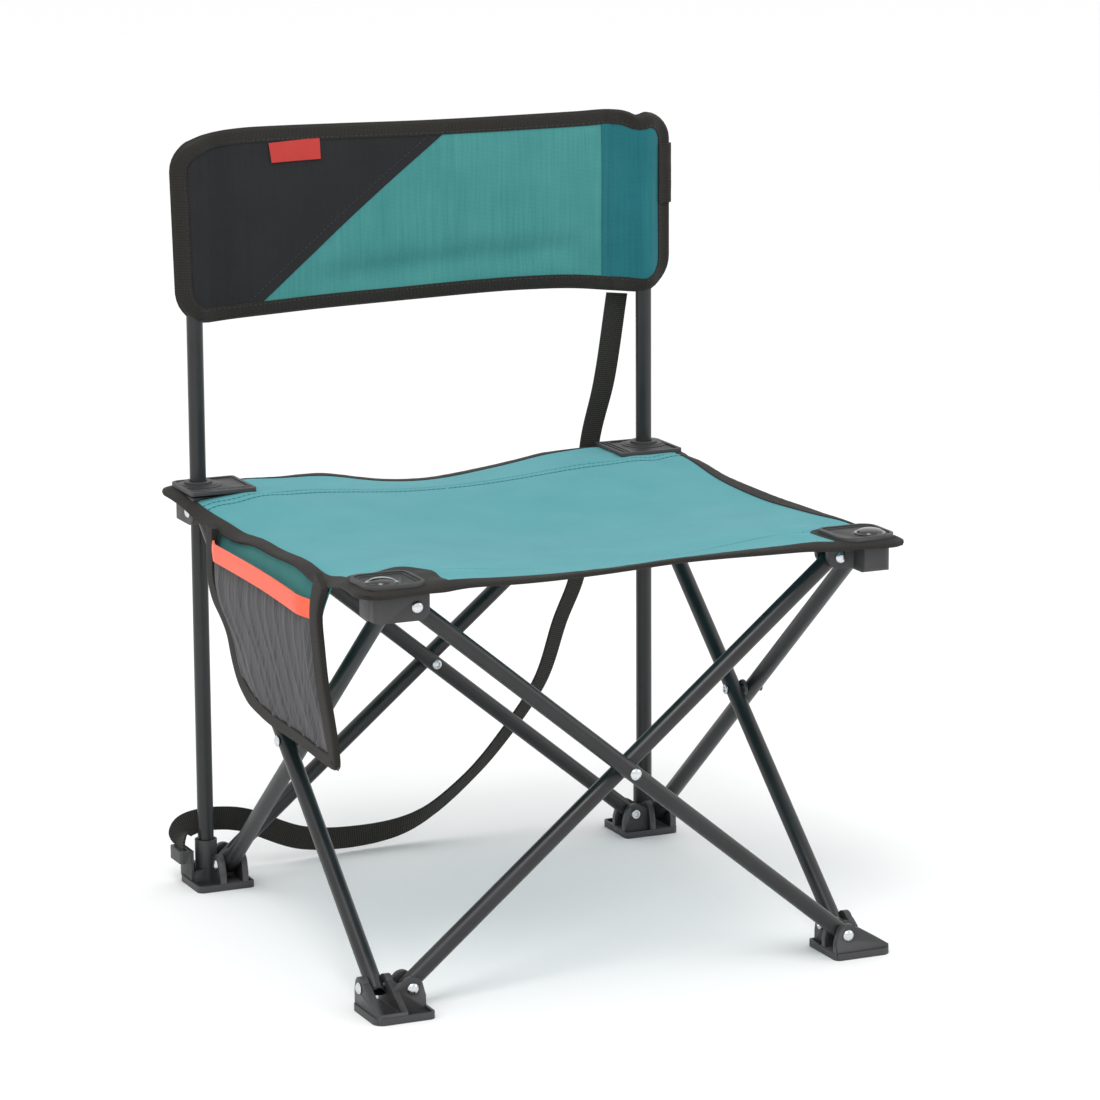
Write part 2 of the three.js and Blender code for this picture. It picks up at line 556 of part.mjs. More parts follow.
// ---- carrying strap ---------------------------------------------------------------------------
// Flat webbing from the backrest's right sleeve, down behind the seat and the rear legs in a slack loop,
// to the lug on the rear left foot. Each row is a point of the route and the direction of the web's width.
const STRAP_WIDTH = 15;
const STRAP_THICKNESS = 1.4;
const STRAP_ROUTE = [
  [[135.6, 158.2, 349.6], [1, 0, 0.25]],
  [[128.7, 163, 293.4], [1, 0, 0.25]],
  [[121.3, 168.5, 254.2], [0.97, 0.15, 0.1]],
  [[117.5, 170, 208.7], [0.9, 0.3, 0]],
  [[112.4, 170, 166.6], [0.85, 0.4, -0.1]],
  [[100.3, 170, 138.2], [0.85, 0.45, -0.15]],
  [[86.5, 171, 99.8], [0.8, 0.5, -0.25]],
  [[59, 173, 62.6], [0.7, 0.6, -0.4]],
  [[38.7, 175, 41.2], [0.55, 0.65, -0.5]],
  [[11.5, 177, 20.6], [0.35, 0.6, -0.7]],
  [[-9.4, 177, 12.5], [0.15, 0.4, -0.85]],
  [[-44.2, 176, 9.8], [0, 0.15, -1]],
  [[-79.4, 173, 14.5], [0, 0, -1]],
  [[-117.9, 168, 31.6], [0, 0, -1]],
  [[-134.1, 165.5, 35.5], [0, 0, -1]],
  [[-150, 164.5, 36], [0, -0.1, -1]],
  [[-161.8, 161.6, 33], [-0.1, -0.6, -0.8]],
  [[-165.9, 155.3, 26.5], [0, -1, -0.1]],
  [[-165.9, 154.25, 14], [0, -1, 0]],
];
const STRAP_STEPS = 54;

function strapGeometry() {
  const points = STRAP_ROUTE.map(([point]) => new THREE.Vector3(...point));
  const curve = new THREE.CatmullRomCurve3(points, false, 'centripetal');
  const positions = [];
  const index = [];
  for (let i = 0; i <= STRAP_STEPS; i += 1) {
    const share = i / STRAP_STEPS;
    const along = share * (STRAP_ROUTE.length - 1);
    const k = Math.min(Math.floor(along), STRAP_ROUTE.length - 2);
    const from = new THREE.Vector3(...STRAP_ROUTE[k][1]).normalize();
    const to = new THREE.Vector3(...STRAP_ROUTE[k + 1][1]).normalize();
    const tangent = curve.getTangent(share);
    const width = from.lerp(to, along - k).normalize();
    width.addScaledVector(tangent, -width.dot(tangent)).normalize().multiplyScalar(STRAP_WIDTH / 2);
    const depth = new THREE.Vector3().crossVectors(tangent, width).setLength(STRAP_THICKNESS / 2);
    for (const [w, d] of [[-1, -1], [1, -1], [1, 1], [-1, 1]]) {
      const point = curve.getPoint(share).addScaledVector(width, w).addScaledVector(depth, d);
      positions.push(point.x, point.y, point.z);
    }
    if (i === 0) continue;
    for (let side = 0; side < 4; side += 1) {
      const [a, b] = [4 * i - 4 + side, 4 * i - 4 + (side + 1) % 4];
      index.push(a, b, b + 4, a, b + 4, a + 4);
    }
  }
  const last = 4 * STRAP_STEPS;
  index.push(0, 3, 2, 0, 2, 1, last, last + 1, last + 2, last, last + 2, last + 3);
  const geometry = new THREE.BufferGeometry();
  geometry.setAttribute('position', new THREE.Float32BufferAttribute(positions, 3));
  geometry.setIndex(index);
  return geometry;
}

// ---- the chair --------------------------------------------------------------------------------
for (let quarter = 0; quarter < 4; quarter += 1) {
  addSide(quarter);
  addCorner(quarter);
  addSeatQuarter(quarter);
}
addPost('left', -POST);
addPost('right', POST);
addBackrest();
addPocket();
add(chair, 'carrying_strap', strapGeometry(), webbing);

export default chair;
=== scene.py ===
# The looks of a low folding camp chair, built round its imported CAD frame. Metres, +Z up, seat front at -Y.
# Each kind of piece has its own section: camera, strap, frame, hubs and feet, seat, backrest, pocket, room.

import json
import math

import bmesh
import bpy
import numpy as np
from mathutils import Matrix, Vector, noise

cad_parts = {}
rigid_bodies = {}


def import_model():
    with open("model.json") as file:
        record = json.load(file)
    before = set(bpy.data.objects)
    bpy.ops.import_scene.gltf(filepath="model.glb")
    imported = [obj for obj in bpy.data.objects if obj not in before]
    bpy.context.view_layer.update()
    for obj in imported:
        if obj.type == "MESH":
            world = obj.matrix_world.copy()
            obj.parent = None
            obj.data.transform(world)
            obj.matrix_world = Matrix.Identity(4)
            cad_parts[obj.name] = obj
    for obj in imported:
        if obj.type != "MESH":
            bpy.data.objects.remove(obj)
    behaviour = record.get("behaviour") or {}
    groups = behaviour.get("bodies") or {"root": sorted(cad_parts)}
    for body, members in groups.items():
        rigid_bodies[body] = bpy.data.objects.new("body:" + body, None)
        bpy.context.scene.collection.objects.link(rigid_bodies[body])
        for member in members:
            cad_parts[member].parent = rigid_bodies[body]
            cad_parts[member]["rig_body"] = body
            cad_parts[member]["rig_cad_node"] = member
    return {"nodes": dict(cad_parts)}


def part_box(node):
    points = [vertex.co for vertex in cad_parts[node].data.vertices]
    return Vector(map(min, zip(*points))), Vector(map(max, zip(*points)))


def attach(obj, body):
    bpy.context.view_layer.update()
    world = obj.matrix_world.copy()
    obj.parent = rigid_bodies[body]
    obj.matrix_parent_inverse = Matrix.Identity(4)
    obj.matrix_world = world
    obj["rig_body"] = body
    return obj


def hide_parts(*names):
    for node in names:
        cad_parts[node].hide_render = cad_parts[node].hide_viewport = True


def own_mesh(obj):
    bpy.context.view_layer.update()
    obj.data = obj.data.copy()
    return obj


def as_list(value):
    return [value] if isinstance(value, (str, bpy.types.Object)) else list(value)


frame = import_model()
for thing in list(bpy.context.scene.objects):
    if "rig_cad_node" not in thing and not thing.name.startswith("body:"):
        bpy.data.objects.remove(thing)
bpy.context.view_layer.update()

MM = 0.001
SIDES = ["front", "right", "rear", "left"]
CORNERS = ["front_left", "front_right", "rear_right", "rear_left"]
CORNER_SIGNS = {"front_left": (-1, -1), "front_right": (1, -1), "rear_right": (1, 1), "rear_left": (-1, 1)}


# ---- the camera ---------------------------------------------------------------------------------------
CAMERA_AT = (-1.1018811, -2.5083191, 0.8238802)
CAMERA_YAW = math.radians(24.053190)
CAMERA_PITCH = math.radians(12.293180)
CAMERA_ROLL = math.radians(-0.322195)
CAMERA_LENS = 153.78
CAMERA_SENSOR = 36.0


def add_camera():
    yaw, pitch, roll = CAMERA_YAW, CAMERA_PITCH, CAMERA_ROLL
    forward = Vector((math.sin(yaw) * math.cos(pitch), math.cos(yaw) * math.cos(pitch), -math.sin(pitch)))
    level_right = Vector((math.cos(yaw), -math.sin(yaw), 0))
    level_up = level_right.cross(forward)
    right = level_right * math.cos(roll) + level_up * math.sin(roll)
    up = level_up * math.cos(roll) - level_right * math.sin(roll)
    data = bpy.data.cameras.new("camera")
    data.lens = CAMERA_LENS
    data.sensor_width = CAMERA_SENSOR
    data.clip_start = 0.05
    data.clip_end = 60
    camera = bpy.data.objects.new("camera", data)
    bpy.context.scene.collection.objects.link(camera)
    placed = Matrix((right, up, -forward)).transposed().to_4x4()
    placed.translation = Vector(CAMERA_AT)
    camera.matrix_world = placed
    bpy.context.scene.camera = camera


add_camera()


# ---- materials ----------------------------------------------------------------------------------------
def linear(red, green, blue):
    """A colour given as it looks on a screen, 0 to 255, as the shader's own values."""
    shares = (red / 255, green / 255, blue / 255)
    return tuple(((c + 0.055) / 1.055) ** 2.4 if c > 0.04 else c / 12.92 for c in shares) + (1,)


class Finish:
    """A material under construction: a principled shader with named sockets, and nodes linked into it."""

    def __init__(self, name, **sockets):
        self.material = bpy.data.materials.new(name)
        self.material.use_nodes = True
        self.nodes = self.material.node_tree.nodes
        self.links = self.material.node_tree.links
        self.shader = self.nodes["Principled BSDF"]
        for socket, value in sockets.items():
            self.shader.inputs[socket.replace("_", " ")].default_value = value

    def put(self, node, socket, value):
        if isinstance(value, bpy.types.NodeSocket):
            self.links.new(value, node.inputs[socket])
        else:
            node.inputs[socket].default_value = value

    def set(self, socket, value):
        self.put(self.shader, socket, value)

    def node(self, kind, values, output=0, **settings):
        """One output of a new node of a kind, with its settings and the values of its inputs."""
        node = self.nodes.new(f"ShaderNode{kind}")
        for setting, value in settings.items():
            setattr(node, setting, value)
        for socket, value in values.items():
            self.put(node, socket, value)
        return node.outputs[output]

    def place(self, scale=(1, 1, 1), cloth=False):
        """Where a point is: along the cloth in metres, or in the object's own space."""
        if cloth:
            source = self.node("UVMap", {}, "UV", uv_map="cloth")
        else:
            source = self.node("TexCoord", {}, "Object")
        return self.node("Mapping", {"Vector": source, "Scale": scale}, "Vector")

    def noise(self, vector, scale, detail=3, roughness=0.5):
        values = {"Vector": vector, "Scale": scale, "Detail": detail, "Roughness": roughness}
        return self.node("TexNoise", values, "Fac")

    def ribs(self, vector, pitch, direction="X", wobble=0.0):
        """Sine ribs, one every pitch metres along X or Y."""
        values = {"Vector": vector, "Scale": 2 * math.pi / 20 / pitch, "Distortion": wobble}
        values |= {"Detail": 2, "Detail Scale": 1.5}
        return self.node("TexWave", values, "Fac", bands_direction=direction)

    def math(self, operation, a, b):
        return self.node("Math", {0: a, 1: b}, operation=operation)

    def mix(self, share, dark, light):
        return self.node("Mix", {0: share, 6: dark, 7: light}, 2, data_type="RGBA")

    def spread(self, value, low, high, to_low=0.0, to_high=1.0):
        """A value's range from low to high drawn out to another range, and held at its ends."""
        values = {"Value": value, "From Min": low, "From Max": high, "To Min": to_low, "To Max": to_high}
        return self.node("MapRange", values, "Result")

    def bump(self, height, depth, strength):
        return self.node("Bump", {"Height": height, "Distance": depth, "Strength": strength}, "Normal")


def painted_tube():
    """Satin black powder coat: a faint orange peel, and slightly brighter worn patches."""
    f = Finish("painted_tube", Metallic=0.0, Roughness=0.36, IOR=1.5, Specular_IOR_Level=0.5)
    place = f.place()
    patches = f.noise(place, 38, 4)
    f.set("Base Color", f.mix(f.spread(patches, 0.35, 0.7), linear(20, 21, 22), linear(31, 32, 34)))
    f.set("Roughness", f.spread(patches, 0.3, 0.7, 0.3, 0.42))
    f.set("Normal", f.bump(f.noise(place, 1100, 2), 0.00004, 0.6))
    return f.material


def moulded_plastic():
    """Dark grey plastic with a spark-eroded grain and rubbed edges."""
    f = Finish("moulded_plastic", Roughness=0.52, IOR=1.5, Specular_IOR_Level=0.42)
    place = f.place()
    edge = f.node("NewGeometry", {}, "Pointiness")
    rubbed = f.spread(edge, 0.5, 0.6)
    patches = f.noise(place, 90, 4)
    plain = f.mix(f.spread(patches, 0.3, 0.7), linear(32, 32, 33), linear(44, 44, 45))
    f.set("Base Color", f.mix(rubbed, plain, linear(74, 74, 76)))
    f.set("Roughness", f.spread(patches, 0.3, 0.7, 0.46, 0.6))
    f.set("Normal", f.bump(f.noise(place, 2600, 2), 0.00006, 0.5))
    return f.material


def gloss_plastic():
    """The polished dome buttons, with hairline scuffs."""
    f = Finish("gloss_plastic", Roughness=0.12, IOR=1.5, Coat_Weight=0.4, Coat_Roughness=0.05)
    place = f.place((1, 9, 1))
    scuffs = f.noise(place, 420, 5, 0.7)
    f.set("Base Color", f.mix(scuffs, linear(20, 20, 21), linear(34, 34, 35)))
    f.set("Roughness", f.spread(scuffs, 0.4, 0.75, 0.08, 0.24))
    return f.material


def zinc_rivet():
    """Bright zinc with a soft turned grain."""
    f = Finish("zinc_rivet", Metallic=1.0, Roughness=0.24)
    place = f.place()
    grain = f.noise(place, 1500, 4, 0.65)
    f.set("Base Color", f.mix(grain, linear(176, 180, 184), linear(236, 238, 240)))
    f.set("Roughness", f.spread(grain, 0.3, 0.75, 0.16, 0.38))
    f.set("Normal", f.bump(grain, 0.00002, 0.35))
    return f.material


def woven(name, shade, light, pitch, slub=0.25, depth=0.00012, sheen=0.25, weft=0.5):
    """A plain weave: crossing ribs a pitch apart, slubs drawn out along the threads, and a cloudy tone."""
    f = Finish(name, Roughness=0.86, Specular_IOR_Level=0.2, Sheen_Weight=sheen, Sheen_Roughness=0.45)
    place = f.place(cloth=True)
    warp = f.ribs(place, pitch, "X", 0.6)
    cross = f.ribs(place, pitch, "Y", 0.6)
    weave = f.math("MULTIPLY", f.math("ADD", warp, 0.35), f.math("ADD", cross, 0.35))
    threads = f.noise(f.place((1 / pitch / 2, 14, 1), cloth=True), 1.0, 3, 0.6)
    fills = f.noise(f.place((14, 1 / pitch / 2, 1), cloth=True), 1.0, 3, 0.6)
    clouds = f.noise(place, 26, 3)
    streaks = f.math("ADD", f.math("MULTIPLY", threads, slub), f.math("MULTIPLY", fills, slub * weft))
    tone = f.math("ADD", f.math("MULTIPLY", clouds, 0.3), streaks)
    tone = f.math("ADD", tone, f.math("MULTIPLY", weave, 0.16))
    middle = 0.15 + slub * (1 + weft) / 2 + 0.11
    f.set("Base Color", f.mix(f.spread(tone, middle - 0.2, middle + 0.2), shade, light))
    height = f.math("ADD", weave, f.math("MULTIPLY", threads, 0.5))
    f.set("Normal", f.bump(height, depth, 0.55))
    return f.material


def ribbed_tape(name, shade, light, pitch, depth=0.00018):
    """Woven tape with ribs across its run, and the odd pale fibre."""
    f = Finish(name, Roughness=0.88, Specular_IOR_Level=0.2, Sheen_Weight=0.06, Sheen_Roughness=0.5)
    place = f.place(cloth=True)
    ribs = f.ribs(place, pitch, "X", 0.35)
    cross = f.ribs(place, pitch * 0.9, "Y", 0.8)
    fibres = f.noise(place, 900, 4, 0.7)
    weave = f.math("ADD", f.math("MULTIPLY", ribs, 0.7), f.math("MULTIPLY", cross, 0.3))
    tone = f.math("ADD", f.math("MULTIPLY", weave, 0.55), f.math("MULTIPLY", fibres, 0.5))
    f.set("Base Color", f.mix(f.spread(tone, 0.25, 0.85), shade, light))
    f.set("Normal", f.bump(weave, depth, 0.8))
    return f.material


def knitted_mesh():
    """The pocket's net: staggered dark holes in a charcoal knit with long pale streaks."""
    f = Finish("pocket_mesh", Roughness=0.8, Specular_IOR_Level=0.2, Sheen_Weight=0.1, Sheen_Roughness=0.4)
    place = f.place(cloth=True)
    pitch = 1.05 * MM
    columns = f.ribs(place, pitch, "X")
    rows = f.ribs(place, pitch * 0.8, "Y")
    # The holes are painted near-black: painted shade of the pocket's inside seen through them.
    holes = f.spread(f.math("MULTIPLY", columns, rows), 0.42, 0.62)
    long_lines = f.noise(f.place((700, 9, 1), cloth=True), 1.0, 2)
    net = f.mix(f.spread(long_lines, 0.3, 0.7), linear(70, 70, 72), linear(96, 96, 98))
    f.set("Base Color", f.mix(holes, net, linear(26, 26, 27)))
    height = f.math("SUBTRACT", 1.0, holes)
    f.set("Normal", f.bump(height, 0.00018, 0.6))
    return f.material


def thread(name, shade, light):
    """Twisted sewing thread."""
    f = Finish(name, Roughness=0.7, Specular_IOR_Level=0.4, Sheen_Weight=0.2)
    twist = f.ribs(f.place(), 0.5 * MM, "X", 1.0)
    f.set("Base Color", f.mix(twist, shade, light))
    return f.material


PAINT = painted_tube()
PLASTIC = moulded_plastic()
GLOSS = gloss_plastic()
ZINC = zinc_rivet()
SEAT_CLOTH = woven("seat_cloth", linear(72, 142, 149), linear(90, 160, 166), 0.62 * MM, slub=0.1, sheen=0.08)
BACK_TEAL = woven("back_cloth_teal", linear(44, 114, 114), linear(78, 146, 142), 0.8 * MM,
                  slub=0.3, sheen=0.06, weft=0.15)
# The right sleeve's teal is the backrest's teal cloth made darker: painted shade for the shadow round the
# post. The seam strip beside it uses it too.
SHADED_SLEEVE_TEAL = woven("sleeve_cloth_teal_painted_shade", linear(20, 88, 96), linear(40, 114, 121), 0.8 * MM,
                    slub=0.26, sheen=0.05, weft=0.3)
BACK_BLACK = woven("back_cloth_black", linear(28, 28, 30), linear(42, 42, 44), 0.8 * MM, slub=0.2, sheen=0.04)
PATCH_BLACK = woven("patch_cloth_black", linear(26, 26, 26), linear(52, 51, 49), 1.1 * MM,
                    slub=0.2, sheen=0.05)
BINDING = ribbed_tape("binding_tape", linear(17, 16, 15), linear(54, 52, 48), 0.95 * MM)
WEBBING = ribbed_tape("strap_webbing", linear(16, 16, 15), linear(64, 63, 59), 1.3 * MM, 0.00025)
BAND_ORANGE = woven("band_orange", linear(232, 84, 58), linear(250, 108, 80), 0.7 * MM, slub=0.15, weft=1.2)
TAG_RED = woven("tag_red", linear(168, 48, 44), linear(192, 62, 56), 0.5 * MM, slub=0.12)
NET = knitted_mesh()
THREAD_TEAL = thread("thread_teal", linear(22, 84, 96), linear(48, 114, 124))
THREAD_BLACK = thread("thread_black", linear(20, 20, 20), linear(44, 44, 44))


# ---- mesh building ------------------------------------------------------------------------------------
def add_mesh(name, points, faces, materials, uvs=None, sharp=40, slots=None):
    """A mesh object whose faces are turned outwards. uvs holds a cloth place in metres for each point."""
    mesh = bpy.data.meshes.new(name)
    mesh.from_pydata([tuple(p) for p in points], [], faces)
    if uvs is not None:
        layer = mesh.uv_layers.new(name="cloth")
        for loop in mesh.loops:
            layer.data[loop.index].uv = tuple(uvs[loop.vertex_index])
    for material in materials if isinstance(materials, list) else [materials]:
        mesh.materials.append(material)
    if slots is not None:
        mesh.polygons.foreach_set("material_index", slots)
    work = bmesh.new()
    work.from_mesh(mesh)
    bmesh.ops.recalc_face_normals(work, faces=work.faces)
    work.to_mesh(mesh)
    work.free()
    mesh.shade_smooth()
    mesh.set_sharp_from_angle(angle=math.radians(sharp))
    piece = bpy.data.objects.new(name, mesh)
    bpy.context.scene.collection.objects.link(piece)
    return piece


def place_piece(piece, body, slot, *replaced):
    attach(piece, body)
    if replaced:
        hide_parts(*replaced)
    return piece


def shell(front, back):
    """Points and faces of a closed sheet between two grids of points, front[row][column] and back."""
    rows, columns = len(front), len(front[0])
    points = [p for row in front for p in row] + [p for row in back for p in row]
    offset = rows * columns
    faces = []
    for j in range(rows - 1):
        for i in range(columns - 1):
            a = j * columns + i
            faces.append((a, a + 1, a + columns + 1, a + columns))
    for a, b, c, d in list(faces):
        faces.append((a + offset, d + offset, c + offset, b + offset))
    rim = list(range(columns))
    rim += [j * columns + columns - 1 for j in range(1, rows)]
    rim += [(rows - 1) * columns + i for i in range(columns - 2, -1, -1)]
    rim += [j * columns for j in range(rows - 2, 0, -1)]
    for a, b in zip(rim, rim[1:] + rim[:1]):
        faces.append((a, a + offset, b + offset, b))
    return points, faces


def sheet_mesh(name, front, back, material, uvs):
    """A closed sheet between two grids of points. uvs holds a cloth place for each point of one grid."""
    points, faces = shell(front, back)
    return add_mesh(name, points, faces, material, uvs * 2)


def loft(name, rings, material):
    """A skin through outlines of equal length, with cloth coordinates in metres along and around it."""
    points, uvs, faces = [], [], []
    travelled, count = 0.0, len(rings[0])
    for i, ring in enumerate(rings):
        if i:
            before = rings[i - 1]
            travelled += ((ring[0] - before[0]).length + (ring[count // 2] - before[count // 2]).length) / 2
        across = 0.0
        for k, at in enumerate(ring):
            across += (at - ring[k - 1]).length if k else 0.0
            points.append(at)
            uvs.append((travelled, across))
    for first in range(0, len(points) - count, count):
        for k in range(count):
            a, b = first + k, first + (k + 1) % count
            faces.append((a, b, b + count, a + count))
    faces.append(tuple(range(count)))
    faces.append(tuple(range(len(points) - count, len(points))))
    return add_mesh(name, points, faces, material, uvs)


def sweep(name, path, outs, ups, section, material):
    """A band along a path. section(i) gives its outline at point i as (out, up) pairs."""
    rings = [[Vector(at) + Vector(out) * x + Vector(up) * y for x, y in section(i)]
             for i, (at, out, up) in enumerate(zip(path, outs, ups))]
    return loft(name, rings, material)


def direction_at(path, i):
    """The path's direction at point i."""
    return (path[min(i + 1, len(path) - 1)] - path[max(i - 1, 0)]).normalized()


def frame_along(path, hints):
    """The outward directions nearest to the hints and square to the path, and the upward ones."""
    outs, ups = [], []
    for i, hint in enumerate(hints):
        tangent = direction_at(path, i)
        out = (hint - tangent * hint.dot(tangent)).normalized()
        outs.append(out)
        ups.append(tangent.cross(out))
    return outs, ups


def lathe_points(profile, steps):
    """A turned solid about +Z from (radius, height) pairs that start and end on the axis."""
    points, faces, rings = [], [], []
    for radius, height in profile:
        if radius < 1e-9:
            rings.append([len(points)])
            points.append(Vector((0, 0, height)))
            continue
        rings.append(list(range(len(points), len(points) + steps)))
        for k in range(steps):
            angle = 2 * math.pi * k / steps
            points.append(Vector((radius * math.cos(angle), radius * math.sin(angle), height)))
    for low, high in zip(rings, rings[1:]):
        for k in range(steps):
            following = (k + 1) % steps
            face = [low[k % len(low)], low[following % len(low)]]
            face += [high[following % len(high)], high[k % len(high)]]
            face = tuple(dict.fromkeys(face))
            if len(face) > 2:
                faces.append(face)
    return points, faces


def lathe(name, profile, at, axis, material, steps=40, sharp=35):
    points, faces = lathe_points(profile, steps)
    turn = Vector((0, 0, 1)).rotation_difference(Vector(axis)).to_matrix()
    return add_mesh(name, [turn @ p + Vector(at) for p in points], faces, material, sharp=sharp)


def curve_value(line, x):
    """The height at x of a smooth line through (x, height) points."""
    xs = [p[0] for p in line]
    k = max(0, min(len(line) - 2, int(np.searchsorted(xs, x)) - 1))

    def slope(i):
        a, b = line[max(i - 1, 0)], line[min(i + 1, len(line) - 1)]
        return (b[1] - a[1]) / (b[0] - a[0])

    (x0, y0), (x1, y1) = line[k], line[k + 1]
    span = x1 - x0
    t = min(max((x - x0) / span, 0.0), 1.0)
    return (y0 * (2 * t**3 - 3 * t**2 + 1) + y1 * (3 * t**2 - 2 * t**3)
            + span * (slope(k) * (t**3 - 2 * t**2 + t) + slope(k + 1) * (t**3 - t**2)))


def spline(points, steps):
    """A centripetal curve through the points, sampled evenly in its own parameter."""
    points = [Vector(p) for p in points]
    ends = [points[0] * 2 - points[1]] + points + [points[-1] * 2 - points[-2]]
    made = []
    for step in range(steps + 1):
        along = step / steps * (len(points) - 1)
        k = min(int(along), len(points) - 2)
        t = along - k
        p0, p1, p2, p3 = ends[k : k + 4]
        d0, d1, d2 = ((b - a).length ** 0.5 for a, b in ((p0, p1), (p1, p2), (p2, p3)))
        m1 = ((p1 - p0) / d0 - (p2 - p0) / (d0 + d1) + (p2 - p1) / d1) * d1
        m2 = ((p2 - p1) / d1 - (p3 - p1) / (d1 + d2) + (p3 - p2) / d2) * d1
        made.append(p1 * (2 * t**3 - 3 * t**2 + 1) + m1 * (t**3 - 2 * t**2 + t)
                    + p2 * (3 * t**2 - 2 * t**3) + m2 * (t**3 - t**2))
    return made


def smoothstep(x):
    x = min(max(x, 0.0), 1.0)
    return x * x * (3 - 2 * x)


def stitches(name, path, ups, material, pitch=3.2 * MM, length=2.3 * MM, radius=0.28 * MM):
    """A row of separate sewn stitches, each a small rounded bar lying on the cloth."""
    points, faces = [], []
    travelled, due = 0.0, pitch / 2
    for i in range(1, len(path)):
        a, b = Vector(path[i - 1]), Vector(path[i])
        span = (b - a).length
        while span > 1e-9 and travelled + span >= due:
            at = a.lerp(b, (due - travelled) / span)
            run, up = (b - a).normalized(), Vector(ups[i]).normalized()
            side = run.cross(up)
            first = len(points)
            rings = [(-0.5, 0.0), (-0.36, 0.85), (0.36, 0.85), (0.5, 0.0)]
            for place, width in rings:
                centre = at + run * place * length + up * radius * (0.1 if width else -0.6)
                for k in range(6):
                    angle = k * math.pi / 3
                    round_it = side * math.cos(angle) + up * math.sin(angle)
                    points.append(centre + round_it * radius * max(width, 0.35))
            for ring in range(len(rings) - 1):
                for k in range(6):
                    c = first + ring * 6
                    faces.append((c + k, c + (k + 1) % 6, c + 6 + (k + 1) % 6, c + 6 + k))
            faces.append(tuple(first + k for k in range(6)))
            faces.append(tuple(first + 18 + k for k in range(6)))
            due += pitch
        travelled += span
    return add_mesh(name, points, faces, material, sharp=60)


# ---- the carrying strap -------------------------------------------------------------------------------
# The route and the direction of the web's width at each point, as the CAD strap has them.
STRAP_WIDTH = 15 * MM
STRAP_THICKNESS = 1.4 * MM
STRAP_STEPS = 240
STRAP_ROUTE = [
    [[0.1356, 0.1582, 0.3496], [1, 0, 0.25]],
    [[0.1287, 0.163, 0.2934], [1, 0, 0.25]],
    [[0.1213, 0.1685, 0.2542], [0.97, 0.15, 0.1]],
    [[0.1175, 0.17, 0.2087], [0.9, 0.3, 0]],
    [[0.1124, 0.17, 0.1666], [0.85, 0.4, -0.1]],
    [[0.1003, 0.17, 0.1382], [0.85, 0.45, -0.15]],
    [[0.0865, 0.171, 0.0998], [0.8, 0.5, -0.25]],
    [[0.059, 0.173, 0.0626], [0.7, 0.6, -0.4]],
    [[0.0387, 0.175, 0.0412], [0.55, 0.65, -0.5]],
    [[0.0115, 0.177, 0.0206], [0.35, 0.6, -0.7]],
    [[-0.0094, 0.177, 0.0125], [0.15, 0.4, -0.85]],
    [[-0.0442, 0.176, 0.0098], [0, 0.15, -1]],
    [[-0.0794, 0.173, 0.0145], [0, 0, -1]],
    [[-0.1179, 0.168, 0.0316], [0, 0, -1]],
    [[-0.1341, 0.1655, 0.0355], [0, 0, -1]],
    [[-0.15, 0.1645, 0.036], [0, -0.1, -1]],
    [[-0.1618, 0.1616, 0.033], [-0.1, -0.6, -0.8]],
    [[-0.1659, 0.1553, 0.0265], [0, -1, -0.1]],
    [[-0.1659, 0.15425, 0.014], [0, -1, 0]],
]


def add_strap():
    path = spline([point for point, _ in STRAP_ROUTE], STRAP_STEPS)

    widths = []
    for i in range(STRAP_STEPS + 1):
        place = i / STRAP_STEPS * (len(STRAP_ROUTE) - 1)
        k = min(int(place), len(STRAP_ROUTE) - 2)
        here, following = (Vector(width).normalized() for _, width in STRAP_ROUTE[k : k + 2])
        widths.append(here.lerp(following, place - k))
    outs, ups = frame_along(path, widths)
    half, thick = STRAP_WIDTH / 2, STRAP_THICKNESS / 2

    def section(_):
        top = [(half - thick * 0.4, thick), (half * 0.7, thick), (half * 0.35, thick), (0, thick)]
        top += [(-x, y) for x, y in reversed(top[:-1])]
        return top + [(-half, 0.0)] + [(x, -y) for x, y in reversed(top)] + [(half, 0.0)]

    strap = sweep("carrying_strap_webbing", path, outs, ups, section, WEBBING)
    place_piece(strap, "carrying_strap", "webbing", "carrying_strap")
    tuple(STRAP_ROUTE[0][0])
    [tuple(p) for p in path]
    start, end = Vector(STRAP_ROUTE[0][0]), Vector(STRAP_ROUTE[-1][0])
    tuple(end)
    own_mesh(strap)


add_strap()


# ---- tubes, rivets and washers ------------------------------------------------------------------------
def middle(node):
    low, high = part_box(node)
    return (low + high) / 2


TUBE_R = 5 * MM
TUBE_WALL = 1 * MM
LEG_END = 5.4 * MM
PIVOT = -middle("front_left_hub_rivet_outer").x
PIVOT_TOP_Z = middle("front_left_hub_rivet_outer").z
PIVOT_FOOT_Z = middle("front_left_foot_rivet_outer").z
PLANE_OUTER = -middle("front_outer_leg").y
PLANE_INNER = -middle("front_inner_leg").y
TUBE_SIDES = 48


def turned_by(quarter):
    return Matrix.Rotation(quarter * math.pi / 2, 4, "Z")


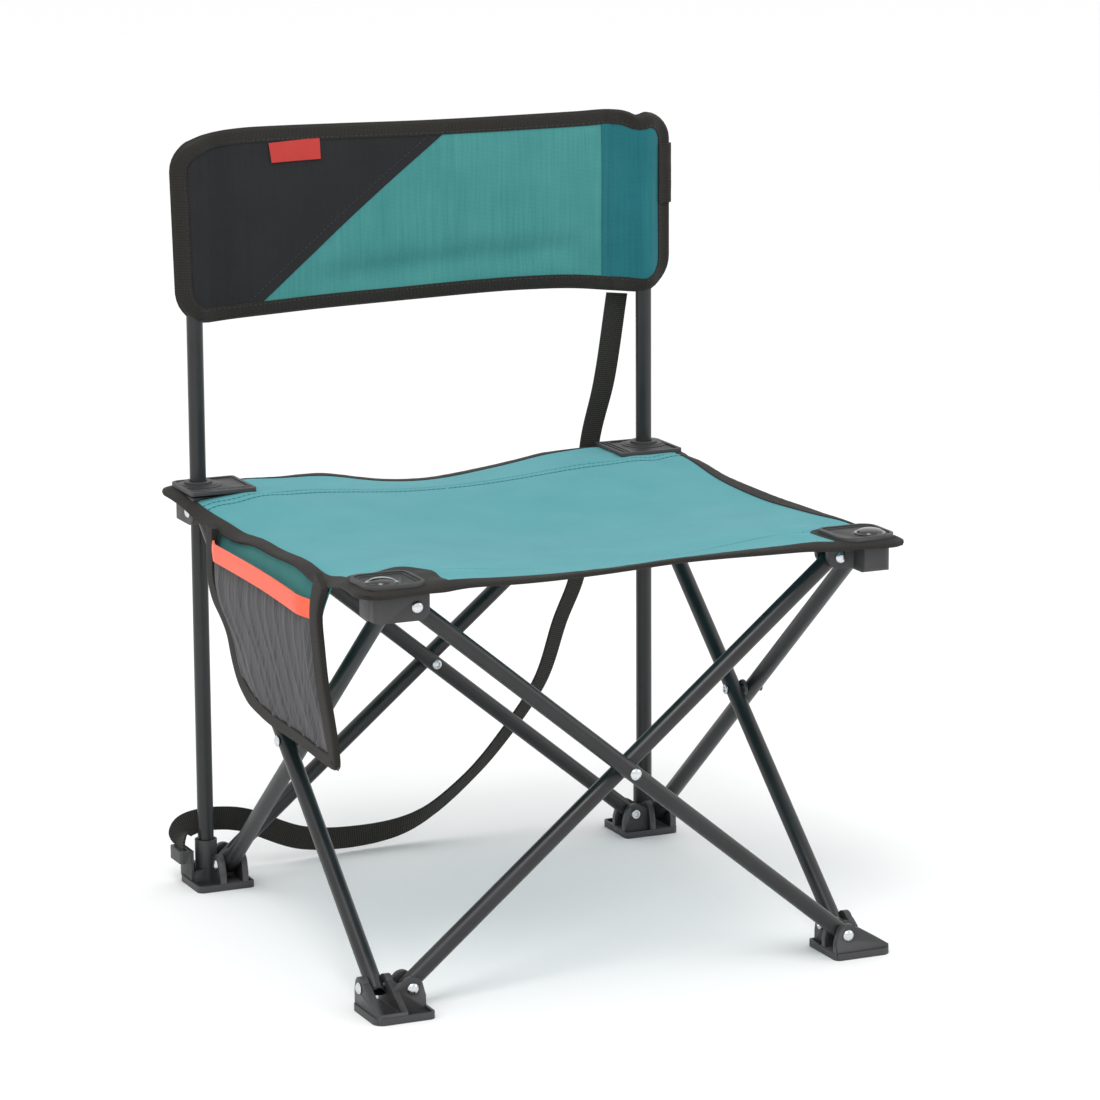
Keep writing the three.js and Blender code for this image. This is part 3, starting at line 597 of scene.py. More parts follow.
def tube_mesh(name, start, end, past, level, round_ends):
    """A hollow tube from start to end. past is its length beyond each, and level the rivets' direction."""
    run = (end - start).normalized()
    side = run.cross(level).normalized()
    length = (end - start).length
    stations = [-past, 2 * TUBE_R, length / 2, length - 2 * TUBE_R, length + past]
    rings = []
    for radius, order in ((TUBE_R, 1), (TUBE_R - TUBE_WALL, -1)):
        for k in range(len(stations))[::order]:
            ring = []
            for n in range(TUBE_SIDES):
                angle = 2 * math.pi * n / TUBE_SIDES
                across = radius * math.sin(angle)
                place = stations[k]
                if round_ends and k in (0, len(stations) - 1):
                    pulled = past * (1 - math.sqrt(1 - 0.8 * (across / TUBE_R) ** 2))
                    place += pulled if k == 0 else -pulled
                ring.append(start + run * place + level * radius * math.cos(angle) + side * across)
            rings.append(ring)
    points = [p for ring in rings for p in ring]
    faces = []
    for first in range(0, len(points), TUBE_SIDES):
        following = (first + TUBE_SIDES) % len(points)
        for n in range(TUBE_SIDES):
            m = (n + 1) % TUBE_SIDES
            faces.append((first + n, first + m, following + m, following + n))
    return add_mesh(name, points, faces, PAINT)


def add_legs():
    for quarter, side in enumerate(SIDES):
        turn = turned_by(quarter)
        for kind, plane, slope in (("outer", PLANE_OUTER, 1), ("inner", PLANE_INNER, -1)):
            node = f"{side}_{kind}_leg"
            top = turn @ Vector((-PIVOT * slope, -plane, PIVOT_TOP_Z))
            foot = turn @ Vector((PIVOT * slope, -plane, PIVOT_FOOT_Z))
            level = (turn @ Vector((0, 1, 0, 0))).to_3d()
            leg = tube_mesh(f"{node}_tube", top, foot, LEG_END, level, True)
            place_piece(leg, node, "painted_tube", node)


def add_posts():
    for side, body in (("left", "base"), ("right", "rear_right_foot")):
        low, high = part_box(f"{side}_post")
        centre = (low + high) / 2
        start, end = Vector((centre.x, centre.y, low.z)), Vector((centre.x, centre.y, high.z))
        post = tube_mesh(f"{side}_post_tube", start, end, 0, Vector((0, 1, 0)), False)
        place_piece(post, body, "painted_tube", f"{side}_post")


def rivet_profile(length, tail):
    """A dome head below 0, a shank, and a rolled hollow tail beyond length."""
    head = [(0, -1.75), (1.0, -1.68), (1.9, -1.42), (2.7, -0.98), (3.2, -0.5), (3.45, -0.12), (3.4, 0)]
    head.append((2, 0))
    profile = [(r * MM, z * MM) for r, z in head] + [(2 * MM, length)]
    if tail:
        ring = [(2.9, 0.02), (3.05, 0.35), (2.75, 0.85), (2.2, 1.08), (1.7, 0.95), (1.45, 0.5), (1.35, 0.0)]
        ring.append((0, -0.1))
        profile += [(r * MM, length + z * MM) for r, z in ring]
    else:
        profile.append((0, length))
    return profile


def add_rivets():
    head, tail_height = 1.7 * MM, 1.1 * MM
    for node in sorted(n for n in frame["nodes"] if "rivet" in n):
        low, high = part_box(node)
        size = high - low
        axis = 0 if size.x > size.y else 1
        outward = -1 if abs(low[axis]) > abs(high[axis]) else 1
        tail = not node.endswith("outer")
        length = size[axis] - head - (tail_height if tail else 0)
        at = (low + high) / 2
        at[axis] = (low[axis] + head) if outward < 0 else (high[axis] - head)
        direction = Vector((0, 0, 0))
        direction[axis] = -outward
        rivet = lathe(f"{node}_body", rivet_profile(length, tail), at, direction, ZINC)
        place_piece(rivet, frame["nodes"][node]["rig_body"], "zinc_rivet", node)


def add_washers():
    for quarter, side in enumerate(SIDES):
        node = f"{side}_crossing_washer"
        low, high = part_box(node)
        half = min((high - low).x, (high - low).y) / 2
        ring = [(2.4 * MM, -half), (4.6 * MM, -half), (5 * MM, -half * 0.5)]
        ring += [(radius, -height) for radius, height in reversed(ring)]
        points, faces = lathe_points(ring + ring[:1], 40)
        turn = turned_by(quarter) @ Matrix.Rotation(math.pi / 2, 4, "X")
        washer = add_mesh(f"{node}_ring", [turn @ p + middle(node) for p in points], faces, PLASTIC, sharp=50)
        work = bmesh.new()
        work.from_mesh(washer.data)
        bmesh.ops.remove_doubles(work, verts=work.verts, dist=1e-6)
        bmesh.ops.recalc_face_normals(work, faces=work.faces)
        work.to_mesh(washer.data)
        work.free()
        place_piece(washer, frame["nodes"][node]["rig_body"], "moulded_plastic", node)


add_legs()
add_posts()
add_rivets()
add_washers()


# ---- moulded parts: hubs, feet, clamp plates and buttons ----------------------------------------------
GAP = 0.3 * MM
HUB_FACE = 162.7 * MM
HUB_INNER_END = 127.5 * MM
HUB_ROOF_START = 149 * MM
HUB_BOTTOM_Z, HUB_TOP_Z = (corner.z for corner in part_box("front_left_hub"))
HUB_CEILING_Z = HUB_TOP_Z - 1.9 * MM
WALL = 4.1 * MM
CHANNEL = TUBE_R + GAP
SWING_R = math.hypot(5.5 * MM, TUBE_R) + GAP
HOLE_R = 2.3 * MM
STUD_HOLE_R = 2.8 * MM
POST_HOLE_R = TUBE_R + 0.4 * MM
OUTER_WALL_END = -PLANE_OUTER + CHANNEL + WALL - 0.1 * MM
INNER_WALLS = (-PLANE_INNER - CHANNEL - WALL + GAP, -PLANE_INNER + CHANNEL + WALL - GAP)
SQUARE = (0, 0, 0, 0)      # the radii of a rectangle with sharp corners
POST = middle("right_post").x
FOOT_LOW = -164 * MM
FOOT_HIGH = -127 * MM
FOOT_FLOOR = 2.4 * MM
FOOT_RIM_Z = 4.2 * MM
FOOT_RIM_WALL = 1.6 * MM
WALL_R = 6.6 * MM
FOOT_WALL_Z = PIVOT_FOOT_Z + WALL_R
SOCKET_R = 6.9 * MM
SOCKET_TOP_Z = 28 * MM
PLATE_Z, PLATE_TOP_Z = (corner.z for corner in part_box("front_left_clamp_plate"))
DOME_AT = -middle("front_left_dome_button").x


def rounded(x0, y0, x1, y1, radii, steps=7):
    """A rectangle's outline, with radii for its lower left, lower right, upper right and upper left."""
    corners = [(x0, y0, 1, 1, math.pi), (x1, y0, -1, 1, 1.5 * math.pi)]
    corners += [(x1, y1, -1, -1, 0), (x0, y1, 1, -1, math.pi / 2)]
    outline = []
    for (x, y, sx, sy, start), radius in zip(corners, radii):
        if radius <= 0:
            outline.append((x, y))
            continue
        for k in range(steps + 1):
            angle = start + k / steps * math.pi / 2
            outline.append((x + radius * (sx + math.cos(angle)), y + radius * (sy + math.sin(angle))))
    return outline


def disc(x, y, radius, steps=32):
    return [(x + radius * math.cos(2 * math.pi * k / steps), y + radius * math.sin(2 * math.pi * k / steps))
            for k in range(steps)]


def prism(outline, axis, start, stop):
    """An outline drawn out along an axis. Its points are (y, z) along x, (x, z) along y, (x, y) along z."""
    order = {"x": (2, 0, 1), "y": (0, 2, 1), "z": (0, 1, 2)}[axis]
    points = [tuple((a, b, d)[k] for k in order) for d in (start, stop) for a, b in outline]
    n = len(outline)
    faces = [tuple(range(n)), tuple(range(n, 2 * n))]
    faces += [(k, (k + 1) % n, n + (k + 1) % n, n + k) for k in range(n)]
    return add_mesh("solid", points, faces, PLASTIC)


def cut(outline, axis, start, stop):
    return "DIFFERENCE", prism(outline, axis, start, stop)


def join(outline, axis, start, stop):
    return "UNION", prism(outline, axis, start, stop)


def moulded(name, steps, bevel=0.45 * MM):
    """A moulded part with soft edges, from (operation, solid) steps that start with its base."""
    base = steps[0][1]
    for operation, solid in steps[1:]:
        cut = base.modifiers.new(operation, "BOOLEAN")
        cut.operation = operation
        cut.solver = "EXACT"
        cut.object = solid
    graph = bpy.context.evaluated_depsgraph_get()
    mesh = bpy.data.meshes.new_from_object(base.evaluated_get(graph))
    for _, solid in steps:
        bpy.data.objects.remove(solid)
    work = bmesh.new()
    work.from_mesh(mesh)
    bmesh.ops.remove_doubles(work, verts=work.verts, dist=0.02 * MM)
    bmesh.ops.dissolve_limit(work, angle_limit=math.radians(2), verts=work.verts, edges=work.edges)
    bmesh.ops.recalc_face_normals(work, faces=work.faces)
    work.to_mesh(mesh)
    work.free()
    piece = bpy.data.objects.new(name, mesh)
    bpy.context.scene.collection.objects.link(piece)
    soften = piece.modifiers.new("soften", "BEVEL")
    soften.width = bevel
    soften.segments = 2
    soften.limit_method = "ANGLE"
    soften.angle_limit = math.radians(30)
    graph = bpy.context.evaluated_depsgraph_get()
    softened = bpy.data.meshes.new_from_object(piece.evaluated_get(graph))
    piece.modifiers.clear()
    piece.data = softened
    softened.shade_smooth()
    softened.set_sharp_from_angle(angle=math.radians(38))
    return piece


def copy_turned(piece, name, quarter):
    mesh = piece.data.copy()
    mesh.transform(turned_by(quarter))
    copy = bpy.data.objects.new(name, mesh)
    bpy.context.scene.collection.objects.link(copy)
    return copy


def leg_room(axis, plane, floor_z, ceiling_z, pivot_z, end_at):
    """Room for a leg to turn: a round end about the pivot, open towards the middle of its side."""
    start, stop = -plane - CHANNEL, -plane + CHANNEL
    run = rounded(-PIVOT - SWING_R, floor_z, end_at, ceiling_z, SQUARE)
    return [cut(run, axis, start, stop), cut(disc(-PIVOT, pivot_z, SWING_R), axis, start, stop)]


def hub_solid(rear):
    below, far = HUB_BOTTOM_Z - 2 * MM, -HUB_INNER_END + 2 * MM
    outer_arm = rounded(-HUB_FACE, HUB_BOTTOM_Z, -HUB_INNER_END, HUB_TOP_Z, (3.5 * MM, 7 * MM, 0, 0))
    inner_arm = rounded(-PLANE_OUTER, HUB_BOTTOM_Z + 1 * MM, -HUB_INNER_END, HUB_TOP_Z, (0, 7 * MM, 0, 0))
    roof = rounded(-HUB_ROOF_START, -HUB_ROOF_START, -HUB_INNER_END, -HUB_INNER_END, SQUARE)
    radii = (7 * MM, 1.5 * MM, 1.5 * MM, 1.5 * MM)
    outline = rounded(-HUB_FACE, -HUB_FACE, -HUB_INNER_END, -HUB_INNER_END, radii)
    hole = disc(-PIVOT, PIVOT_TOP_Z, HOLE_R)
    at, radius = (-POST, POST_HOLE_R) if rear else (-DOME_AT, STUD_HOLE_R)
    return moulded("hub", [
        join(outer_arm, "y", -HUB_FACE, OUTER_WALL_END),
        join(inner_arm, "x", *INNER_WALLS),
        join(roof, "z", HUB_CEILING_Z, HUB_TOP_Z),
        ("INTERSECT", prism(outline, "z", below, HUB_TOP_Z + 1 * MM)),
        *leg_room("y", PLANE_OUTER, below, HUB_CEILING_Z, PIVOT_TOP_Z, far),
        *leg_room("x", PLANE_INNER, below, HUB_CEILING_Z, PIVOT_TOP_Z, far),
        cut(hole, "y", -HUB_FACE - 1 * MM, OUTER_WALL_END + 1 * MM),
        cut(hole, "x", -PLANE_OUTER, -HUB_INNER_END),
        cut(disc(at, at, radius), "z", below, HUB_TOP_Z + 2 * MM),
    ])


def foot_wall():
    """A wall beside a leg: round over the pivot, falling away towards the tray's outer edge."""
    angles = [0.8 * math.pi - k / 14 * 0.65 * math.pi for k in range(15)]
    outline = [(-HUB_FACE, 1 * MM), (-HUB_FACE, 6 * MM), (-PIVOT - 7 * MM, FOOT_WALL_Z - 3 * MM)]
    outline += [(-PIVOT + WALL_R * math.cos(a), PIVOT_FOOT_Z + WALL_R * math.sin(a)) for a in angles]
    return outline + [(-HUB_INNER_END, 10 * MM), (-HUB_INNER_END, 1 * MM)]


def lug_steps():
    """The slotted tab behind the foot that the strap goes through, and the web that carries it."""
    tab = rounded(-164 * MM, -169.7 * MM, -144.4 * MM, -161.7 * MM, (2 * MM, 2 * MM, 0, 0))
    web = rounded(-163.5 * MM, -162.8 * MM, -143.5 * MM, -161.1 * MM, SQUARE)
    slot = rounded(-162.4 * MM, -167.5 * MM, -146.1 * MM, -164.3 * MM, (0.6 * MM,) * 4)
    top = 23 * MM
    return [join(tab, "z", 15 * MM, top), join(web, "z", 3 * MM, top), cut(slot, "z", 14 * MM, top + 1 * MM)]


def foot_solid(rear, lug):
    low, high, rim = FOOT_LOW, FOOT_HIGH, FOOT_RIM_WALL
    radii = (6 * MM, 4 * MM, 3 * MM, 4 * MM)
    tray = rounded(low, low, high, high, radii)
    smaller = tuple(radius - rim * 0.9 for radius in radii)
    inside = rounded(low + rim, low + rim, high - rim, high - rim, smaller)
    ledge, roof = FOOT_FLOOR + 2 * MM, FOOT_WALL_Z + 2 * MM
    between = rounded(-PLANE_OUTER - CHANNEL, low + rim, -PLANE_OUTER + CHANNEL, -PIVOT, SQUARE)
    steps = [
        join(tray, "z", 0, FOOT_RIM_Z),
        cut(inside, "z", FOOT_FLOOR, 9 * MM),
        join(foot_wall(), "x", -HUB_FACE, OUTER_WALL_END),
        join(foot_wall(), "y", *INNER_WALLS),
        ("INTERSECT", prism(tray, "z", -1 * MM, 40 * MM)),
        *leg_room("x", PLANE_OUTER, ledge, roof, PIVOT_FOOT_Z, high + 2 * MM),
        *leg_room("y", PLANE_INNER, ledge, roof, PIVOT_FOOT_Z, high + 2 * MM),
        cut(between, "z", ledge, roof),
    ]
    if rear:
        steps.append(join(disc(-POST, -POST, SOCKET_R, 40), "z", 1 * MM, SOCKET_TOP_Z))
        steps.append(cut(disc(-POST, -POST, CHANNEL, 40), "z", 3.6 * MM, SOCKET_TOP_Z + 1 * MM))
    hole = disc(-PIVOT, PIVOT_FOOT_Z, HOLE_R)
    steps.append(cut(hole, "x", -HUB_FACE - 1 * MM, OUTER_WALL_END + 1 * MM))
    steps.append(cut(hole, "y", -PLANE_OUTER, INNER_WALLS[1] + 1 * MM))
    return moulded("foot", steps + (lug_steps() if lug else []), 0.5 * MM)


def add_hubs_and_feet():
    fronts = hub_solid(False), foot_solid(False, False)
    rears = hub_solid(True), foot_solid(True, False)
    lugged = foot_solid(True, True)
    for quarter, corner in enumerate(CORNERS):
        hub, foot = fronts if corner.startswith("front") else rears
        if corner == "rear_left":
            foot = lugged
        for solid, kind in ((hub, "hub"), (foot, "foot")):
            node = f"{corner}_{kind}"
            piece = copy_turned(solid, f"{node}_moulding", quarter)
            place_piece(piece, frame["nodes"][node]["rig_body"], "moulded_plastic", node)
    for piece in {*fronts, *rears, lugged}:
        bpy.data.objects.remove(piece)


def front_plate():
    """A rimmed pad with a step inside the rim and a ring round the button."""
    low, high, top = -165 * MM, -129 * MM, PLATE_TOP_Z
    radii = (9 * MM, 9 * MM, 6 * MM, 9 * MM)
    steps = [join(rounded(low, low, high, high, radii), "z", PLATE_Z, top)]
    for inset, depth in ((2.0 * MM, 0.7 * MM), (4.2 * MM, 1.2 * MM)):
        smaller = tuple(radius - inset * 0.8 for radius in radii)
        inner = rounded(low + inset, low + inset, high - inset, high - inset, smaller)
        steps.append(cut(inner, "z", top - depth, top + 1 * MM))
    steps.append(join(disc(-DOME_AT, -DOME_AT, 10.6 * MM, 40), "z", top - 1.6 * MM, top - 1.0 * MM))
    steps.append(cut(disc(-DOME_AT, -DOME_AT, STUD_HOLE_R), "z", PLATE_Z - 1 * MM, top + 2 * MM))
    return moulded("plate", steps, 0.3 * MM)


def rear_plate():
    """A plate with a rim, two ridges by its inner edge, and stepped rings and a collar round the post."""
    top, low, far, rim = PLATE_TOP_Z, -164.5 * MM, -122.5 * MM, 2.2 * MM
    outline = rounded(low, low, far, far, (7 * MM, 2 * MM, 2 * MM, 2 * MM))
    inner = rounded(low + rim, low + rim, far - rim, far - rim, (5 * MM, 1 * MM, 1 * MM, 1 * MM))
    steps = [join(outline, "z", PLATE_Z, top), cut(inner, "z", top - 0.9 * MM, top + 1 * MM)]
    for back_from_edge in (4.6 * MM, 7.6 * MM):
        ridge = far - back_from_edge
        line = rounded(ridge - 1 * MM, low + rim, ridge, far - rim, SQUARE)
        steps.append(join(line, "z", top - 1.2 * MM, top - 0.1 * MM))
    for radius, height in ((14.5 * MM, -0.4 * MM), (11.6 * MM, 0), (8.6 * MM, 1.5 * MM)):
        steps.append(join(disc(-POST, -POST, radius, 48), "z", PLATE_Z + 0.5 * MM, top + height))
    steps.append(("INTERSECT", prism(outline, "z", PLATE_Z, top + 3 * MM)))
    steps.append(cut(disc(-POST, -POST, POST_HOLE_R, 40), "z", PLATE_Z - 1 * MM, top + 4 * MM))
    return moulded("plate", steps, 0.28 * MM)


def add_plates():
    for quarter, corner in enumerate(CORNERS):
        plate = front_plate() if corner.startswith("front") else rear_plate()
        piece = copy_turned(plate, f"{corner}_clamp_plate_moulding", quarter)
        bpy.data.objects.remove(plate)
        place_piece(piece, f"{corner}_hub", "moulded_plastic", f"{corner}_clamp_plate")


def add_domes():
    for corner in ("front_left", "front_right"):
        node = f"{corner}_dome_button"
        low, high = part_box(node)
        radius, base = (high.x - low.x) / 2, high.z - 3.2 * MM
        profile = [(0, low.z), (2.5 * MM, low.z), (2.5 * MM, base), (radius, base), (radius, base + 0.5 * MM)]
        profile += [(radius - 0.5 * MM, base + 0.9 * MM), (radius - 1.3 * MM, base + 0.75 * MM)]
        crown = radius - 1.4 * MM
        for k in range(9):
            angle = k / 8 * math.pi / 2
            profile.append((crown * math.cos(angle), base + 0.8 * MM + 2.4 * MM * math.sin(angle)))
        centre = (low + high) / 2
        dome = lathe(f"{node}_cap", profile, (centre.x, centre.y, 0), (0, 0, 1), GLOSS, 56, 50)
        place_piece(dome, f"{corner}_hub", "gloss_plastic", node)


add_hubs_and_feet()
add_plates()
add_domes()


# ---- the seat -----------------------------------------------------------------------------------------
SEAT_TIP = 172.5 * MM
SEAT_BOW = 11 * MM         # how far each edge bows in between the corners
SEAT_FLAT = 0.73           # share of the half width inside which the cloth sags
SEAT_EDGE_SAG = 7.5 * MM
SEAT_CENTRE_SAG = 15 * MM
SEAT_TOP_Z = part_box("front_left_seat_quarter")[1].z
SEAT_CLOTH_T = 1.2 * MM
TIP_SHARE = 0.105          # share of the half width that a corner's rounding takes
DROOP = 2.4 * MM           # how far the cloth's edge hangs over the hubs
DROOP_REACH = 11 * MM
BINDING_SPLIT = 0.6        # where the side bindings end and a corner's own binding starts
HINGE_REACH = 264 * MM     # |x| + |y| where the cloth starts to hang from its clamped corner
WAVE_REACH = 52 * MM       # how far in from the edge its waves die out
# Waves of the seat's edges: the side, then in millimetres where along it, how wide and how high.
EDGE_WAVES = [
    ("left", 100, 36, -9.0), ("left", 55, 24, -5.0), ("left", -85, 30, -7.6), ("left", 0, 40, -1.6),
    ("rear", -67, 26, 3.6), ("rear", 0, 40, -3.2), ("rear", 86, 20, 1.6),
    ("front", 45, 55, 4.5), ("front", -20, 75, 3.2), ("front", 0, 48, 1.6),
    ("right", -49, 34, 1.6), ("right", 5, 55, 3.2), ("right", 90, 26, 1.2),
]


def rise(share):
    share = abs(share)
    return 0.0 if share >= SEAT_FLAT else (1 - (share / SEAT_FLAT) ** 2) ** 2


def round_tip(s, t):
    """Draws the square corner of the s, t range in to a quarter circle."""
    a, b = (abs(s) - 1) / TIP_SHARE + 1, (abs(t) - 1) / TIP_SHARE + 1
    if a <= 0 or b <= 0:
        return s, t
    a, b = a * math.sqrt(1 - b * b / 2), b * math.sqrt(1 - a * a / 2)
    return math.copysign(1 + (a - 1) * TIP_SHARE, s), math.copysign(1 + (b - 1) * TIP_SHARE, t)


def tension_folds(x, y):
    """Soft folds that run out from each clamp plate."""
    total = 0.0
    for sx, sy in CORNER_SIGNS.values():
        dx, dy = x - sx * 147 * MM, y - sy * 147 * MM
        reach = math.hypot(dx, dy)
        if 12 * MM < reach < 130 * MM:
            angle = math.atan2(dy, dx)
            fade = smoothstep((reach - 22 * MM) / (14 * MM)) * math.exp(-((reach - 36 * MM) / (34 * MM)) ** 2)
            total += 0.55 * MM * fade * math.sin(angle * 9 + 1.7 * sx)
    return total


def edge_distance(s, t):
    """How far a rounded s, t place is inside the seat's outline."""
    a, b = (abs(s) - 1) / TIP_SHARE + 1, (abs(t) - 1) / TIP_SHARE + 1
    if a > 0 and b > 0:
        return (1 - math.hypot(a, b)) * TIP_SHARE * SEAT_TIP
    return (1 - max(abs(s), abs(t))) * SEAT_TIP


def seat_at(s, t, lift=0.0):
    """A point of the seat's top, for s and t from -1 to 1 across it."""
    s, t = round_tip(s, t)
    x = s * (SEAT_TIP - SEAT_BOW * (1 - t * t))
    y = t * (SEAT_TIP - SEAT_BOW * (1 - s * s))
    across, along = rise(s), rise(t)
    z = SEAT_TOP_Z - SEAT_CENTRE_SAG * across * along
    z -= SEAT_EDGE_SAG * (across * (1 - along) + along * (1 - across))
    corner = (1 - across) * (1 - along)
    turned_down = 0.35 + 0.65 * corner if min(s, t) < -0.75 else corner - 0.3 * (1 - corner)
    z -= DROOP * turned_down * max(0.0, 1 - edge_distance(s, t) / DROOP_REACH) ** 2
    for side, centre, width, height in EDGE_WAVES:
        place = x if side in ("front", "rear") else y
        edge = {"front": -t, "rear": t, "left": -s, "right": s}[side]
        near = max(0.0, 1 - (1 - edge) * SEAT_TIP / WAVE_REACH) ** 2
        z += height * MM * near * math.exp(-(((place - centre * MM) / (width * MM)) ** 2))
    z += tension_folds(x, y)
    z += 0.45 * MM * (1 - corner) * noise.noise(Vector((x * 22, y * 22, 1.3)))
    return Vector((x, y, z + lift))


def seat_normal(s, t):
    step = 0.004
    across = seat_at(min(s + step, 1), t) - seat_at(max(s - step, -1), t)
    along = seat_at(s, min(t + step, 1)) - seat_at(s, max(t - step, -1))
    return across.cross(along).normalized()


# Seams: where each lies in the middle of the seat and beside the plates, as a share of the half length.
SEAMS = {"front": (0.800, 0.742, [0.0]), "rear": (0.735, 0.668, [-0.018, 0.018])}
SEAM_ROW = 0.78
HEM_STEP = 0.35 * MM
GROOVE = 0.7 * MM
GROOVE_SHARE = 0.005       # half a groove's width as a share of the half length
CLOTH_END = 0.994          # the cloth stops just inside its binding


def seam_at(end, s):
    middle_share, side_share, _ = SEAMS[end]
    return middle_share + (side_share - middle_share) * min(abs(s) / 0.75, 1.0) ** 2


def seat_rows(end):
    rows = set(np.linspace(0, SEAM_ROW, 40)) | set(np.linspace(SEAM_ROW, CLOTH_END, 26))
    for line in SEAMS[end][2]:
        rows |= {SEAM_ROW + line + step for step in (-0.011, -0.006, -0.003, 0.0, 0.003, 0.006, 0.011)}
    return sorted(round(row, 5) for row in rows)


def row_to_share(end, s, row):
    """The rows follow the seam: SEAM_ROW lands on it and the others spread evenly on either side."""
    seam = seam_at(end, s)
    return row * seam / SEAM_ROW if row < SEAM_ROW else 1 - (1 - row) * (1 - seam) / (1 - SEAM_ROW)


def seam_relief(end, row):
    """The groove that each line of stitches pulls in, and the hem's second layer beyond it."""
    relief = HEM_STEP * smoothstep((row - SEAM_ROW - SEAMS[end][2][0]) / 0.01)
    for line in SEAMS[end][2]:
        relief -= GROOVE * math.exp(-(((row - SEAM_ROW - line) / GROOVE_SHARE) ** 2))
    return relief


def closed_part(name, quads, points, uvs, normals):
    """A closed piece from some of a sheet's upper faces, what lies under them, and walls round them."""
    half = len(points) // 2
    edges = {(quad[k - 1], quad[k]) for quad in quads for k in range(4)}
    faces = quads + [tuple(k + half for k in reversed(quad)) for quad in quads]
    faces += [(b, a, a + half, b + half) for a, b in sorted(edges) if (b, a) not in edges]
    used = sorted({k for face in faces for k in face})
    new = {k: i for i, k in enumerate(used)}
    faces = [tuple(new[k] for k in face) for face in faces]
    piece = add_mesh(name, [points[k] for k in used], faces, SEAT_CLOTH, [uvs[k % half] for k in used])
    piece.data.normals_split_custom_set_from_vertices([normals[k] for k in used])
    return piece


def add_seat_quarter(corner):
    """A quarter of the cloth, as the part that hangs when the chair folds and the part clamped on the hub."""
    sx, sy = CORNER_SIGNS[corner]
    end = corner.split("_")[0]
    columns = list(np.linspace(0, 0.9, 46)) + list(np.linspace(0.91, CLOTH_END, 10))
    top, under, uvs, normals = [], [], [], []
    for row in seat_rows(end):
        places = [(sx * column, sy * row_to_share(end, column, row)) for column in columns]
        at, out = [seat_at(s, t) for s, t in places], [seat_normal(s, t) for s, t in places]
        top.append([point + normal * seam_relief(end, row) for point, normal in zip(at, out)])
        under.append([point - normal * SEAT_CLOTH_T for point, normal in zip(at, out)])
        uvs += [(point.x, point.y) for point in at]
        normals += out
    points, faces = shell(top, under)
    vertex_normals = [tuple(n) for n in surface_normals(top, normals, sx * sy)] + [tuple(-n) for n in normals]
    hanging, clamped = [], []
    for face in faces:
        if max(face) < len(uvs):
            reach = sum(abs(points[k].x) + abs(points[k].y) for k in face) / 4
            (clamped if reach > HINGE_REACH else hanging).append(face)
    cloth = closed_part(f"{corner}_seat_cloth", hanging, points, uvs, vertex_normals)
    place_piece(cloth, f"{corner}_seat_quarter", "seat_cloth", f"{corner}_seat_quarter")
    corner_cloth = closed_part(f"{corner}_seat_corner_cloth", clamped, points, uvs, vertex_normals)
    return cloth, place_piece(corner_cloth, f"{corner}_hub", "seat_cloth")


def surface_normals(grid, smooth, turn):
    """The grid's own normals inside it, and the seat's smooth ones along its borders."""
    made = list(smooth)
    rows, columns = len(grid), len(grid[0])
    for j in range(1, rows - 1):
        for i in range(1, columns - 1):
            across = grid[j][i + 1] - grid[j][i - 1]
            along = grid[j + 1][i] - grid[j - 1][i]
            made[j * columns + i] = (across.cross(along) * turn).normalized()
    return made


def side_at(side, place):
    """s and t of a place from -1 to 1 along a side, from its own first corner to the next."""
    return {"front": (place, -1), "right": (1, place), "rear": (-place, 1), "left": (-1, -place)}[side]


# The seat binding's outline in millimetres: how far in from the edge, and how far above the cloth.
SEAT_TAPE = [(8.0, 0.15), (7.7, 0.72), (6.0, 0.85), (4.0, 0.85), (2.4, 0.85), (1.0, 0.8), (0.1, 0.6),
             (-0.5, 0.1)]


def seat_edge(name, shares):
    """A length of binding folded round the seat's edge, through (s, t) shares of its outline."""
    rings = []
    for s, t in shares:
        above, below = [], []
        for depth, lift in SEAT_TAPE:
            share = 1 - depth * MM / SEAT_TIP
            at, normal = seat_at(s * share, t * share), seat_normal(s * share, t * share)
            ripple = 0.25 * MM * max(0.0, noise.noise(at * 150)) if lift > 0.5 else 0.0
            above.append(at + normal * (lift * MM + ripple))
            below.append(at - normal * (SEAT_CLOTH_T + lift * MM))
        rings.append(above + below[::-1])
    return loft(name, rings, BINDING)


def fold_to_corner(piece, corner):
    """Gives a piece of the seat a mesh of its own."""
    sx, sy = CORNER_SIGNS[corner]
    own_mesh(piece)


def seat_stitches(name, corner, line, first, last):
    """Stitches along one line of a seam, between two shares of the seat's half width."""
    sx, sy = CORNER_SIGNS[corner]
    end = corner.split("_")[0]
    shares = [(sx * s, sy * row_to_share(end, s, SEAM_ROW + line)) for s in np.linspace(first, last, 90)]
    path = [seat_at(s, t, -0.1 * MM) for s, t in shares]
    return stitches(name, path, [seat_normal(s, t) for s, t in shares], THREAD_TEAL)


